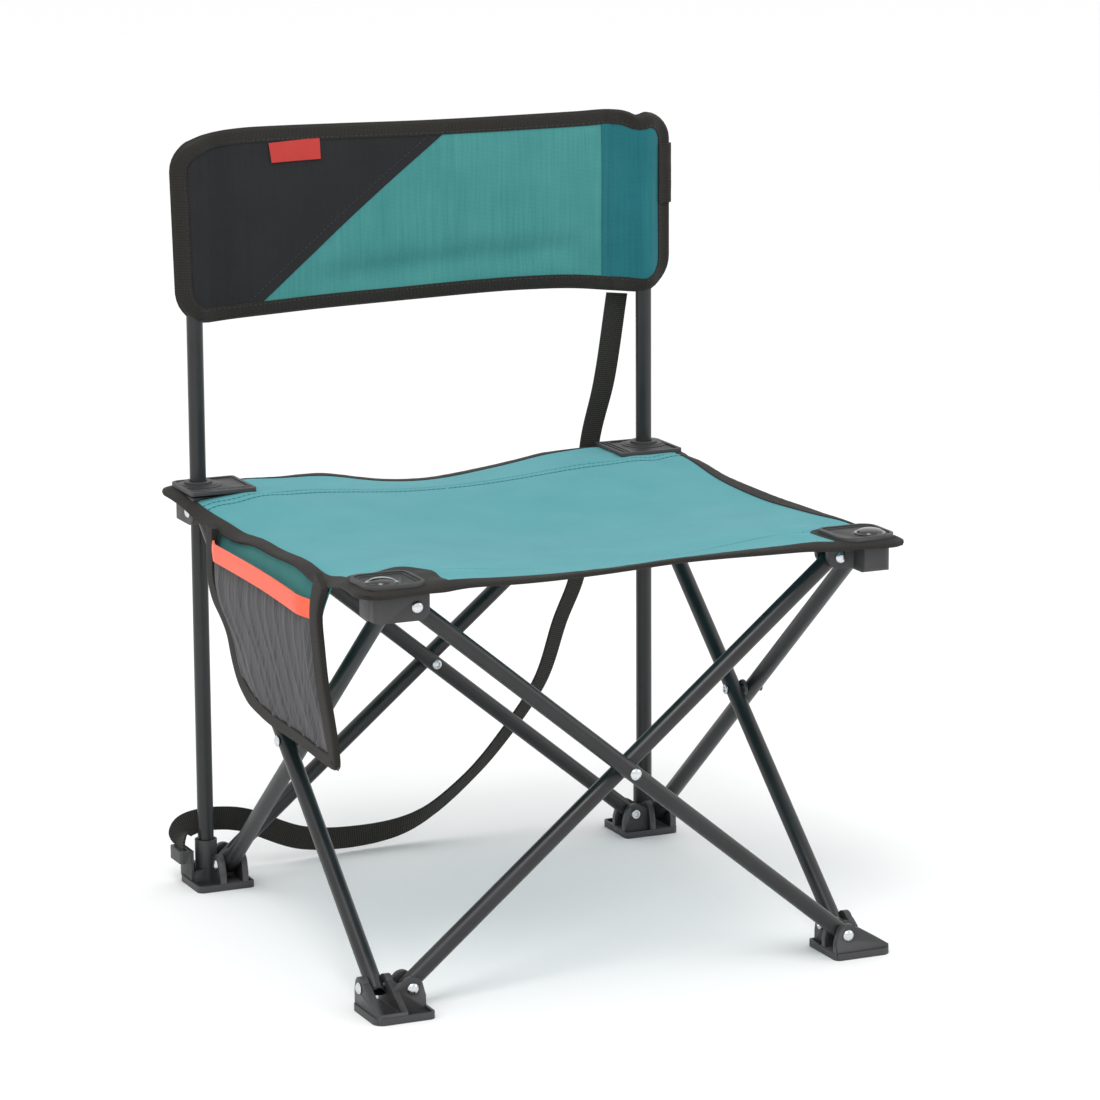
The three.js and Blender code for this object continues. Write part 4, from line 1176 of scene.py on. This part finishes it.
def add_seat():
    hanging = {corner: [] for corner in CORNERS}
    clamped = {corner: [] for corner in CORNERS}
    for corner in CORNERS:
        end = corner.split("_")[0]
        for number, line in enumerate(SEAMS[end][2]):
            name = f"{corner}_seat_stitches"
            hanging[corner].append(seat_stitches(f"{name}_quarter_{number}", corner, line, 0.004, 0.745))
            if end == "rear":
                clamped[corner].append(seat_stitches(f"{name}_hub_{number}", corner, line, 0.75, 0.955))
    for quarter, side in enumerate(SIDES):
        before, corner, following = SIDES[quarter - 1], CORNERS[quarter], CORNERS[(quarter + 1) % 4]
        for near, first, last in ((corner, -BINDING_SPLIT, 0), (following, 0, BINDING_SPLIT)):
            shares = [side_at(side, place) for place in np.linspace(first, last, 60)]
            hanging[near].append(seat_edge(f"{near}_{side}_edge_binding", shares))
        run = list(np.linspace(BINDING_SPLIT, 0.89, 24)) + list(np.linspace(0.895, 1, 18))
        shares = [side_at(before, place) for place in run] + [side_at(side, -place) for place in run[-2::-1]]
        clamped[corner].append(seat_edge(f"{corner}_tip_binding", shares))
    for corner in CORNERS:
        cloth, corner_cloth = add_seat_quarter(corner)
        for pieces, body in ((hanging[corner], f"{corner}_seat_quarter"), (clamped[corner], f"{corner}_hub")):
            for piece in pieces:
                place_piece(piece, body, "binding" if "binding" in piece.name else "seat_cloth")
        for piece in [cloth] + hanging[corner]:
            fold_to_corner(piece, corner)
        for piece in clamped[corner] + [corner_cloth]:
            fold_to_corner(piece, corner)
        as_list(hanging[corner])
        add_patch(corner)


# The black patches: how far out each starts, as a share of the half width, and how round its inner corner is.
PATCHES = {"front_left": (0.672, 0.34), "front_right": (0.738, 0.3),
           "rear_right": (0.74, 0.12), "rear_left": (0.74, 0.12)}
PATCH_END = 0.968
PATCH_ABOVE, PATCH_BELOW = 0.5 * MM, 0.3 * MM     # its faces above and below the cloth's top


def add_patch(corner):
    """The black reinforcement under a clamp plate, rounded towards the middle of the seat."""
    sx, sy = CORNER_SIGNS[corner]
    start, curve = PATCHES[corner]
    steps = np.linspace(0, 1, 26)
    top, under, uvs = [], [], []
    for v in steps:
        places = []
        for u in steps:
            a, b, p, q = 1 - u / curve, 1 - v / curve, u, v
            if a > 0 and b > 0:
                p, q = curve * (1 - a * math.sqrt(1 - b * b / 2)), curve * (1 - b * math.sqrt(1 - a * a / 2))
            places.append((sx * (start + (PATCH_END - start) * p), sy * (start + (PATCH_END - start) * q)))
        at, out = [seat_at(s, t) for s, t in places], [seat_normal(s, t) for s, t in places]
        top.append([point + normal * PATCH_ABOVE for point, normal in zip(at, out)])
        under.append([point - normal * PATCH_BELOW for point, normal in zip(at, out)])
        uvs += [(point.x, point.y) for point in at]
    patch = sheet_mesh(f"{corner}_corner_patch", top, under, PATCH_BLACK, uvs)
    place_piece(patch, f"{corner}_hub", "back_cloth_black")


add_seat()


# ---- the backrest -------------------------------------------------------------------------------------
# The outline's top and bottom as (x, z) in millimetres, and how the panel bows back between the posts.
BACK_TOP = [(-166, 463.6), (-158, 463.8), (-150, 464.3), (-142.5, 466.2), (-135, 467.6), (-126, 468.6),
            (-110, 469.3), (-45, 469.0), (4, 468.2), (55, 467.5), (106, 467.0), (123, 467.2), (134, 466.2),
            (140, 464.6), (145.5, 462.4), (151, 463.8), (158, 463.2), (170, 461.6)]
BACK_BOTTOM = [(-166, 352.8), (-150, 352.4), (-126, 353.9), (-94, 355.3), (-62, 356.6), (0, 358.1),
               (55, 358.8), (89, 357.8), (106, 356.5), (130, 353.4), (150, 351.2), (170, 351.4)]
BACK_LEFT = -161.6 * MM
BACK_LEFT_LEAN = 2.9 * MM        # how much further out the left edge is at the top
BACK_RIGHT = 167.8 * MM
CUT = 127 * MM                   # the panel meets the sleeves here
BOW_DEPTH = 13 * MM
BOW_HALF = 140 * MM
SIGHT_SLOPE = 0.218              # how much higher a point further back looks, for each unit of depth
SEAM_FOOT, SEAM_HEAD = -117 * MM, 29 * MM        # the x of the diagonal seam's lower and upper end
TOP_LEFT_R, TOP_RIGHT_R, FOOT_LEFT_R, FOOT_RIGHT_R = 19 * MM, 15 * MM, 20 * MM, 22 * MM
POST_Y = middle("left_post").y


def bow(x):
    return POST_Y + BOW_DEPTH * math.cos(math.pi / 2 * min(abs(x) / BOW_HALF, 1.0)) ** 2


def back_height(x, share):
    """The height of a point of the outline, share 0 at the bottom edge and 1 at the top."""
    low = curve_value(BACK_BOTTOM, x / MM) * MM
    high = curve_value(BACK_TOP, x / MM) * MM
    return low + (high - low) * share - SIGHT_SLOPE * (bow(x) - POST_Y)


def sleeve_share(x):
    """1 over a post, falling to 0 beside it."""
    return math.cos(math.pi / 2 * min(abs(abs(x) - POST) / (14 * MM), 1.0)) ** 2


def lip(x):
    """How far in from the outline the pad takes to reach its full thickness."""
    return 1.5 * MM + 3.5 * MM * sleeve_share(x)


def pad_half(x, inside):
    """Half the pad's thickness at x, at a distance inside the outline."""
    reach = lip(x)
    edge = math.sqrt(1 - (1 - min(inside / reach, 1.0)) ** 2)
    puff = 1 - math.exp(-inside / (9 * MM))
    panel = 1.3 * MM + 3.0 * MM * puff
    if x > 0:
        panel *= 1 - 0.55 * math.exp(-(((x - 124 * MM) / (3.5 * MM)) ** 2))
    sleeve = 1.3 * MM + sleeve_share(x) * (5.1 * MM + 1.9 * MM * puff)
    share = smoothstep((abs(x) - 123 * MM) / (12 * MM))
    return edge * (panel * (1 - share) + sleeve * share)


def corner_inset(inside, radius):
    return 0.0 if inside >= radius else radius - math.sqrt(max(0.0, radius**2 - (radius - inside) ** 2))


def spaced(start, stop, count, tight):
    """Places from start to stop, closer together towards the ends named in tight."""
    shares = np.linspace(0, 1, count)
    if "start" in tight and "stop" in tight:
        shares = (1 - np.cos(math.pi * shares)) / 2
    elif "start" in tight:
        shares = shares**1.7
    elif "stop" in tight:
        shares = 1 - (1 - shares) ** 1.7
    return [start + (stop - start) * share for share in shares]


def back_row_shares():
    end = [0.2 * (1 - math.cos(k / 9 * math.pi / 2)) for k in range(10)]
    return end + list(np.linspace(0.2, 0.8, 24))[1:-1] + [1 - share for share in reversed(end)]


BACK_COLUMNS = {"left": 24, "black": 46, "teal": 46, "right": 24}
BACK_HEIGHT = 112 * MM


def seam_x(share):
    """Where the diagonal seam is at a share of the panel's height."""
    return SEAM_FOOT + (SEAM_HEAD - SEAM_FOOT) * share


def back_grid():
    """The pad's rows: share of the height, left and right end, and x places in BACK_COLUMNS' groups."""
    rows = []
    for share in back_row_shares():
        left, right = back_limits(share)
        seam = seam_x(share)
        groups = [
            spaced(left, -CUT, BACK_COLUMNS["left"], ("start",)),
            spaced(-CUT, seam, BACK_COLUMNS["black"], ("stop",)),
            spaced(seam, CUT, BACK_COLUMNS["teal"], ("start", "stop")),
            spaced(CUT, right, BACK_COLUMNS["right"], ("stop",)),
        ]
        rows.append((share, left, right, groups))
    return rows


def front_relief(x, z, seam):
    """The pad's front detail: the overlap at the diagonal seam, a shallow fold and a soft unevenness."""
    overlap = smoothstep((seam - x + 0.4 * MM) / (0.8 * MM)) * math.exp(-max(0.0, seam - x) / (12 * MM))
    relief = 0.55 * MM * overlap
    window = smoothstep((x + 95 * MM) / (60 * MM)) * smoothstep((118 * MM - x) / (30 * MM))
    fold_z = 376 * MM + 0.06 * x
    relief -= 2.8 * MM * window * math.exp(-(((z - fold_z) / (8 * MM)) ** 2))
    relief += 0.8 * MM * window * math.exp(-(((z - fold_z - 17 * MM) / (13 * MM)) ** 2))
    relief += 0.5 * MM * noise.noise(Vector((x * 24, 0.4, z * 24)))
    if abs(x) > CUT:
        ends = math.exp(-min(abs(z - 462 * MM), abs(z - 352 * MM)) / (14 * MM))
        relief += 0.9 * MM * ends * math.sin(x * 900) * noise.noise(Vector((x * 60, 2.2, z * 20)))
    return relief


def back_limits(share):
    """Where the outline's left and right edges are at a share of its height."""
    below, above = share * BACK_HEIGHT, (1 - share) * BACK_HEIGHT
    left = BACK_LEFT - BACK_LEFT_LEAN * share
    left += max(corner_inset(below, FOOT_LEFT_R), corner_inset(above, TOP_LEFT_R))
    right = BACK_RIGHT - max(corner_inset(below, FOOT_RIGHT_R), corner_inset(above, TOP_RIGHT_R))
    return left, right


def pad_faces(x, z):
    """How far back the pad's front and back surfaces are at a point of it, and half its plain thickness."""
    low, high = back_height(x, 0), back_height(x, 1)
    share = min(max((z - low) / (high - low), 0.0), 1.0)
    left, right = back_limits(share)
    inside = max(0.0, min(z - low, high - z, x - left, right - x))
    half, edge = pad_half(x, inside), min(1.0, inside / (4 * MM))
    wrinkle = 0.6 * MM * edge * noise.noise(Vector((x * 30, 7.1, z * 30)))
    return bow(x) - half - front_relief(x, z, seam_x(share)) * edge, bow(x) + half + wrinkle


def add_back_pads():
    """The panel and its two sleeves, cut from one grid. The front is teal beyond the diagonal seam."""
    front, back, uvs = [], [], []
    for share, _, _, groups in back_grid():
        xs = groups[0] + [x for group in groups[1:] for x in group[1:]]
        places = [(x, back_height(x, share)) for x in xs]
        faces_y = [pad_faces(x, z) for x, z in places]
        front.append([Vector((x, y[0] - 0.01 * MM, z)) for (x, z), y in zip(places, faces_y)])
        back.append([Vector((x, y[1] + 0.01 * MM, z)) for (x, z), y in zip(places, faces_y)])
        uvs.append(places)
    left_end = BACK_COLUMNS["left"] - 1
    seam_column = left_end + BACK_COLUMNS["black"] - 1
    right_start = seam_column + BACK_COLUMNS["teal"] - 1
    last = right_start + BACK_COLUMNS["right"] - 1
    pads = {}
    for name, first, stop in (("left_sleeve", 0, left_end), ("panel", left_end, right_start),
                              ("right_sleeve", right_start, last)):
        part = slice(first, stop + 1)
        points, faces = shell([row[part] for row in front], [row[part] for row in back])
        flat = [uv for row in uvs for uv in row[part]]
        slots = [int(first + i >= seam_column) for _ in range(len(front) - 1) for i in range(stop - first)]
        slots += [0] * (len(faces) - len(slots))
        # The right sleeve gets the darker teal: painted shade round the post.
        light = SHADED_SLEEVE_TEAL if name == "right_sleeve" else BACK_TEAL
        pads[name] = add_mesh(f"backrest_{name}_pad", points, faces, [BACK_BLACK, light], flat * 2, 50, slots)
    return pads


def back_outline():
    """The outline's top, bottom, left and right, each as places of x and share of the height."""
    rows = back_grid()
    top = [(x, rows[-1][0]) for group in rows[-1][3] for x in group]
    bottom = [(x, rows[0][0]) for group in rows[0][3] for x in group]
    return top, bottom, [(row[1], row[0]) for row in rows], [(row[2], row[0]) for row in rows]


def thin_out(points, least):
    """The points of a path that are further apart than least."""
    kept = [points[0]]
    for point in points[1:-1]:
        if (point - kept[-1]).length > least:
            kept.append(point)
    if (points[-1] - kept[-1]).length < least * 0.5 and len(kept) > 1:
        kept.pop()
    return kept + [points[-1]]


# The back binding's outline in millimetres: how far in from the edge, and how far off the pad.
BACK_TAPE = [(8.5, 0.1), (8.2, 0.7), (7.0, 0.85), (5.4, 0.9), (3.8, 0.95), (2.4, 1.0), (1.3, 1.0),
             (0.5, 0.95), (0.0, 0.8), (-0.45, 0.45), (-0.7, 0.0)]


def outline_frame(shares):
    """The outline's points in space and the outward direction at each."""
    path = thin_out([Vector((x, bow(x), back_height(x, share))) for x, share in shares], 1.2 * MM)
    outs = []
    for i, at in enumerate(path):
        out = direction_at(path, i).cross(Vector((0, 1, 0))).normalized()
        outs.append(-out if out.dot(at - Vector((0, at.y, 410 * MM))) < 0 else out)
    return path, outs


def back_binding(name, shares, lift=0.0):
    """Binding folded round part of the pad's outline, puckered near the top corners."""
    path, outs = outline_frame(shares)
    rings = []
    for at, out in zip(path, outs):
        near_corner = smoothstep((abs(at.x) - 122 * MM) / (10 * MM)) * (1.0 if at.z > 410 * MM else 0.4)
        pucker = (0.1 + 0.9 * near_corner) * MM
        front, back = [], []
        for depth, off in BACK_TAPE:
            x, z = at.x - out.x * depth * MM, at.z - out.z * depth * MM
            front_y, back_y = pad_faces(x, z)
            bulge = max(0.0, noise.noise(Vector((x * 130, 3.3, z * 130)))) * pucker * min(1.0, off)
            spread = off * MM + bulge + lift * min(1.0, off)
            if depth < 0:
                x, z = x + out.x * lift, z + out.z * lift
            front.append(Vector((x, front_y - spread, z)))
            back.append(Vector((x, back_y + spread, z)))
        rings.append(front + back[::-1])
    return loft(name, rings, BINDING)


def front_path(places, lift=0.05 * MM):
    """Points on the pad's front through (x, z) places, and the outward directions there."""
    path = [Vector((x, pad_faces(x, z)[0] - lift, z)) for x, z in places]
    return path, [Vector((0, -1, 0))] * len(path)


def add_tag():
    """A plain folded tag sewn in under the top binding, a little askew."""
    left, right, top, bottom = -101 * MM, -66 * MM, 459.5 * MM, 447.5 * MM
    front, back, uvs = [], [], []
    for v in np.linspace(0, 1, 7):
        across = np.linspace(0, 1, 15)
        xs = [left + (right - left) * u + 1.4 * MM * v * (1 - u) for u in across]
        zs = [top + (bottom - top) * v + 0.9 * MM * u * (1 - v) for u in across]
        places = list(zip(xs, zs))
        path, _ = front_path(places)
        lifts = [0.35 * MM + 0.5 * MM * v * abs(2 * u - 1) for u in across]
        front.append([at - Vector((0, lift + 0.35 * MM, 0)) for at, lift in zip(path, lifts)])
        back.append([at - Vector((0, lift - 0.15 * MM, 0)) for at, lift in zip(path, lifts)])
        uvs += places
    return sheet_mesh("backrest_side_tag", front, back, TAG_RED, uvs)


def add_seam_strip():
    """The flat seam beside the right sleeve, in the sleeve's darker teal: painted shade along the seam."""
    front, back, uvs = [], [], []
    for share in np.linspace(0.02, 0.98, 60):
        places = [(x, back_height(x, share)) for x in np.linspace(120.6 * MM, CUT - 0.1 * MM, 8)]
        front.append(front_path(places, 0.5 * MM)[0])
        back.append(front_path(places, -0.2 * MM)[0])
        uvs += places
    return sheet_mesh("backrest_seam_strip", front, back, SHADED_SLEEVE_TEAL, uvs)


def back_line(x0, share0, x1, share1, count=90):
    """Places of x and z on the pad along a line between two places of x and share of the height."""
    return [(x0 + (x1 - x0) * k, back_height(x0 + (x1 - x0) * k, share0 + (share1 - share0) * k))
            for k in np.linspace(0, 1, count)]


def backrest_edges():
    """Names of the pieces of the edge, the pad that each goes with, and their places in order."""
    top, bottom, left, right = back_outline()
    near = CUT + 1e-6
    far = CUT - 1e-6
    yield "panel_top", "panel", [p for p in top if abs(p[0]) <= near]
    yield "panel_bottom", "panel", [p for p in bottom if abs(p[0]) <= near]
    left_ends = [[p for p in line if p[0] <= -far] for line in (top, bottom)]
    right_ends = [[p for p in line if p[0] >= far] for line in (top, bottom)]
    yield "left_loop", "left_sleeve", left_ends[0][::-1] + left[::-1] + left_ends[1]
    yield "right_loop", "right_sleeve", right_ends[0] + right[::-1] + right_ends[1][::-1]


def add_backrest():
    pads = add_back_pads()
    extras = {name: [] for name in pads}
    for name, pad, shares in backrest_edges():
        extras[pad].append(back_binding(f"backrest_{name}_binding", shares))
        path, outs = outline_frame(shares)
        inner = [(at.x - out.x * 7 * MM, at.z - out.z * 7 * MM) for at, out in zip(path, outs)]
        sewn, ups = front_path(inner, 0.85 * MM)
        row = stitches(f"backrest_{name}_stitches", sewn, ups, THREAD_BLACK, 3.4 * MM, 2.2 * MM, 0.25 * MM)
        extras[pad].append(row)
    tail = [(BACK_RIGHT, share) for share in np.linspace(0.50, 0.84, 40)]
    extras["right_sleeve"].append(back_binding("backrest_binding_tail", tail, 1.2 * MM))
    seam = back_line(SEAM_FOOT + 1.08 * MM, 0.08, SEAM_HEAD - 20.92 * MM, 0.92)
    path, ups = front_path(seam)
    extras["panel"].append(stitches("backrest_diagonal_stitches", path, ups, THREAD_BLACK))
    for number, x in enumerate((121.4 * MM, 126.2 * MM)):
        path, ups = front_path(back_line(x, 0.09, x, 0.91), 0.45 * MM)
        name = f"backrest_sleeve_stitches_{number}"
        extras["panel"].append(stitches(name, path, ups, THREAD_TEAL, 2.6 * MM, 1.9 * MM))
    extras["panel"] += [add_tag(), add_seam_strip()]
    for name, body in (("panel", "base"), ("left_sleeve", "base"), ("right_sleeve", "rear_right_foot")):
        slot = "back_cloth_black" if name == "left_sleeve" else "back_cloth_teal"
        place_piece(pads[name], body, slot, f"backrest_{name}")
        for extra in extras[name]:
            place_piece(extra, body, "red_tag" if "tag" in extra.name else "binding")
        for piece in [pads[name]] + extras[name]:
            if name == "panel":
                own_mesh(piece)
            else:
                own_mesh(piece)


add_backrest()


# ---- the side pocket ----------------------------------------------------------------------------------
# Outlines in (y, z) millimetres: the rear edge, the bottom and the front edge, each from its own first point.
POCKET_REAR = [(87, 241), (87.5, 222), (86, 207), (79, 197), (66, 189.5), (55, 181), (48, 168), (37, 155),
               (20, 146)]
POCKET_FOOT = [(20, 146), (-12, 142), (-63, 141), (-98, 139), (-119, 138.5)]
POCKET_FRONT = [(-119, 138.5), (-117.5, 149), (-111, 166), (-102, 186), (-97, 206), (-94, 222), (-97, 232),
                (-103, 241)]
BAND_TOP = [(87, 233.5), (31, 233.5), (-18, 233), (-66, 231), (-91, 229)]
BAND_LOW = [(87, 223), (31, 223), (-18, 222.3), (-66, 220), (-91, 218)]
POCKET_BACK_X = -165.6 * MM
POCKET_FACE_X = -167.2 * MM
POCKET_TAPE_HALF = 2.1 * MM
# The net's pleats: where each starts along the band, how far it drifts on the way down, its width and height.
PLEATS = [(0.075, 0.01, 0.016, 1.2), (0.15, 0.03, 0.012, 1.7), (0.235, -0.01, 0.02, 1.1),
          (0.33, 0.02, 0.012, 2.0), (0.41, 0.0, 0.014, 1.2), (0.5, 0.02, 0.011, 2.1),
          (0.575, -0.02, 0.018, 1.0), (0.655, 0.01, 0.012, 1.9), (0.74, 0.02, 0.016, 1.3),
          (0.82, -0.01, 0.011, 1.9), (0.9, 0.0, 0.014, 1.2)]
# The width of the pocket's tape along its run, in millimetres.
POCKET_TAPES = [(0.0, 10.5), (0.34, 9.0), (0.42, 7.2), (0.66, 7.2), (0.74, 11.0), (1.0, 12.0)]


def along_line(line, share):
    """A point at a share of the length of a line of (y, z) points, on a smooth curve through them."""
    at = spline([(0, y, z) for y, z in line], 8 * (len(line) - 1))
    lengths = [0.0]
    for a, b in zip(at, at[1:]):
        lengths.append(lengths[-1] + (b - a).length)
    want = share * lengths[-1]
    k = max(0, min(len(at) - 2, int(np.searchsorted(lengths, want)) - 1))
    span = lengths[k + 1] - lengths[k]
    point = at[k].lerp(at[k + 1], (want - lengths[k]) / span if span else 0)
    return point.y * MM, point.z * MM


def patch_between(top, rear, front, foot, columns, rows):
    """Points of a sheet between four lines, as (y, z, u, v); u runs to the front and v down."""
    tops = [along_line(top, i / columns) for i in range(columns + 1)]
    feet = [along_line(foot, i / columns) for i in range(columns + 1)]
    rears = [along_line(rear, j / rows) for j in range(rows + 1)]
    fronts = [along_line(front, 1 - j / rows) for j in range(rows + 1)]
    made = []
    for j in range(rows + 1):
        row = []
        for i in range(columns + 1):
            u, v = i / columns, j / rows
            place = []
            for k in (0, 1):
                edges = (1 - v) * tops[i][k] + v * feet[i][k] + (1 - u) * rears[j][k] + u * fronts[j][k]
                corners = ((1 - u) * (1 - v) * tops[0][k] + u * (1 - v) * tops[-1][k]
                           + (1 - u) * v * feet[0][k] + u * v * feet[-1][k])
                place.append(edges - corners)
            row.append((*place, u, v))
        made.append(row)
    return made


def pocket_sheet(name, grid, depth_at, thickness, material, slot):
    """A sheet of the pocket over a grid of (y, z, u, v), its outer face at x = depth_at(y, z, u, v)."""
    outer, inner, uvs = [], [], []
    for row in grid:
        outer.append([Vector((depth_at(y, z, u, v), y, z)) for y, z, u, v in row])
        inner.append([Vector((depth_at(y, z, u, v) + thickness, y, z)) for y, z, u, v in row])
        uvs += [(y, z) for y, z, _, _ in row]
    return place_piece(sheet_mesh(name, outer, inner, material, uvs), "front_left_hub", slot)


def band_depth(y, z, u, v):
    edges = smoothstep((u - 0.03) / 0.1) * smoothstep((0.97 - u) / 0.1)
    return POCKET_FACE_X - 0.6 * MM - 4.4 * MM * edges - 0.5 * MM * math.sin(math.pi * v)


def net_depth(y, z, u, v):
    return POCKET_FACE_X - pleat(u, v) * (0.75 + 0.25 * smoothstep(v / 0.15))


def back_depth(y, z, u, v):
    """The back panel hangs plumb, and its top lies against the seat's binding."""
    seat_x = -(SEAT_TIP - SEAT_BOW * (1 - (y / SEAT_TIP) ** 2)) + 3 * MM
    high = smoothstep((z - 215 * MM) / (26 * MM))
    drape = 0.6 * MM * noise.noise(Vector((2.0, y * 30, z * 18)))
    return POCKET_BACK_X * (1 - high) + max(min(seat_x, -159.8 * MM), -164 * MM) * high + drape


def pleat(u, v):
    """How far the net stands out: folds that run down from the band, and fine gathers at both ends."""
    edges = smoothstep((u - 0.03) / 0.12) * smoothstep((0.97 - u) / 0.12)
    out = 3.6 * MM * edges * (1 - smoothstep((v - 0.4) / 0.6))
    fade = smoothstep((u - 0.03) / 0.04) * smoothstep((0.97 - u) / 0.04) * smoothstep((0.99 - v) / 0.12)
    for start, drift, width, height in PLEATS:
        reach = (u - start - drift * v) / width
        out += height * MM * (0.65 + 0.35 * math.cos(5 * v + 40 * start)) * math.exp(-reach * reach) * fade
    ends = math.exp(-v / 0.1) + math.exp(-(1 - v) / 0.08)
    return out + 0.35 * MM * math.sin(2 * math.pi * 34 * u + 2 * math.sin(7 * u)) * ends * fade


def soften_path(path, rounds):
    for _ in range(rounds):
        path = [path[0]] + [(a + b * 2 + c) / 4 for a, b, c in zip(path, path[1:], path[2:])] + [path[-1]]
    return path


def tape_outline(width):
    """A folded tape's outline as (out, up): flat on both sides of the cloth and rolled round its edge."""
    thick = POCKET_TAPE_HALF
    top = [(-width, thick * 0.62), (-width + 0.35 * MM, thick * 0.92), (-width * 0.6, thick)]
    top += [(-width * 0.25, thick), (-0.8 * MM, thick * 0.98), (0.36 * MM, thick * 0.8)]
    top.append((0.765 * MM, thick * 0.42))
    return top + [(x, -y) for x, y in reversed(top)]


def add_pocket_binding():
    """The tape round the pocket's rear edge, bottom and front edge."""
    lines = [along_line(POCKET_REAR, k / 50) for k in range(50)]
    lines += [along_line(POCKET_FOOT, k / 46) for k in range(46)]
    lines += [along_line(POCKET_FRONT, k / 46) for k in range(47)]
    path = soften_path([Vector((POCKET_FACE_X + 0.2 * MM, y, z)) for y, z in lines], 3)
    centre = Vector((0, -20 * MM, 190 * MM))
    hints = [direction_at(path, i).cross(Vector((1, 0, 0))) for i in range(len(path))]
    if hints[0].dot(path[0] - centre) < 0:
        hints = [-hint for hint in hints]
    outs, ups = frame_along(path, hints)
    ups = [-up if up.x > 0 else up for up in ups]
    widths = [curve_value(POCKET_TAPES, i / (len(path) - 1)) * MM for i in range(len(path))]
    return sweep("side_pocket_binding", path, outs, ups, lambda i: tape_outline(widths[i]), BINDING)


def add_pocket():
    back_top = [(87, 241), (48, 238), (12, 241), (-29, 242), (-66, 241), (-103, 241)]
    inner_front = [(y + 3, z) for y, z in POCKET_FRONT]
    inner_foot = [(y, z + 2) for y, z in POCKET_FOOT[:-1]] + [inner_front[0]]
    grid = patch_between(back_top[:-1] + [inner_front[-1]], POCKET_REAR, inner_front, inner_foot, 50, 36)
    back = pocket_sheet("side_pocket_back_panel", grid, back_depth, 0.8 * MM, BACK_TEAL, "back_cloth_teal")
    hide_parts("side_pocket")
    net_top = [(y, z + 2) for y, z in BAND_LOW]
    rear_low = [(y, z) for y, z in POCKET_REAR if z <= 224]
    front_low = [(y, z) for y, z in POCKET_FRONT if z <= 223]
    grid = patch_between(net_top, rear_low, front_low, POCKET_FOOT, 220, 60)
    net = pocket_sheet("side_pocket_net", grid, net_depth, 0.7 * MM, NET, "pocket_mesh")
    edges = [(along_line(BAND_TOP, i / 60), along_line(BAND_LOW, i / 60), i / 60) for i in range(61)]
    grid = [[(a[0] + (b[0] - a[0]) * v, a[1] + (b[1] - a[1]) * v, u, v) for a, b, u in edges]
            for v in np.linspace(0, 1, 9)]
    band = pocket_sheet("side_pocket_band", grid, band_depth, 1.3 * MM, BAND_ORANGE, "orange_band")
    tape = place_piece(add_pocket_binding(), "front_left_hub", "binding")
    for piece in (back, net, band, tape):
        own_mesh(piece)


add_pocket()

for cap in ("left_post_cap", "right_post_cap"):
    frame["nodes"][cap].data.materials.clear()
    frame["nodes"][cap].data.materials.append(PLASTIC)


# ---- the room -----------------------------------------------------------------------------------------
FLOOR_HALF = 20.0


def add_light(name, at, toward, size, power):
    data = bpy.data.lights.new(name, "AREA")
    data.shape = "DISK"
    data.size = size
    data.energy = power
    light = bpy.data.objects.new(name, data)
    bpy.context.scene.collection.objects.link(light)
    light.location = at
    light.rotation_mode = "QUATERNION"
    light.rotation_quaternion = (Vector(toward) - Vector(at)).to_track_quat("-Z", "Y")


def add_room():
    pale = Finish("floor", Base_Color=(0.92, 0.92, 0.92, 1), Roughness=0.9).material
    corners = [(-FLOOR_HALF, -FLOOR_HALF, 0), (FLOOR_HALF, -FLOOR_HALF, 0)]
    corners += [(FLOOR_HALF, FLOOR_HALF, 0), (-FLOOR_HALF, FLOOR_HALF, 0)]
    floor = add_mesh("floor", corners, [(0, 1, 2, 3)], pale)
    world = bpy.data.worlds.new("studio")
    world.use_nodes = True
    world.node_tree.nodes["Background"].inputs["Color"].default_value = (1, 1, 1, 1)
    world.node_tree.nodes["Background"].inputs["Strength"].default_value = 1.06
    bpy.context.scene.world = world
    centre = (0, 0, 0.2)
    add_light("key", (-1.0, -1.4, 2.6), centre, 1.3, 30)
    add_light("fill", (2.2, -1.2, 1.6), centre, 1.6, 8)


add_room()
bpy.context.scene.view_settings.view_transform = "Standard"
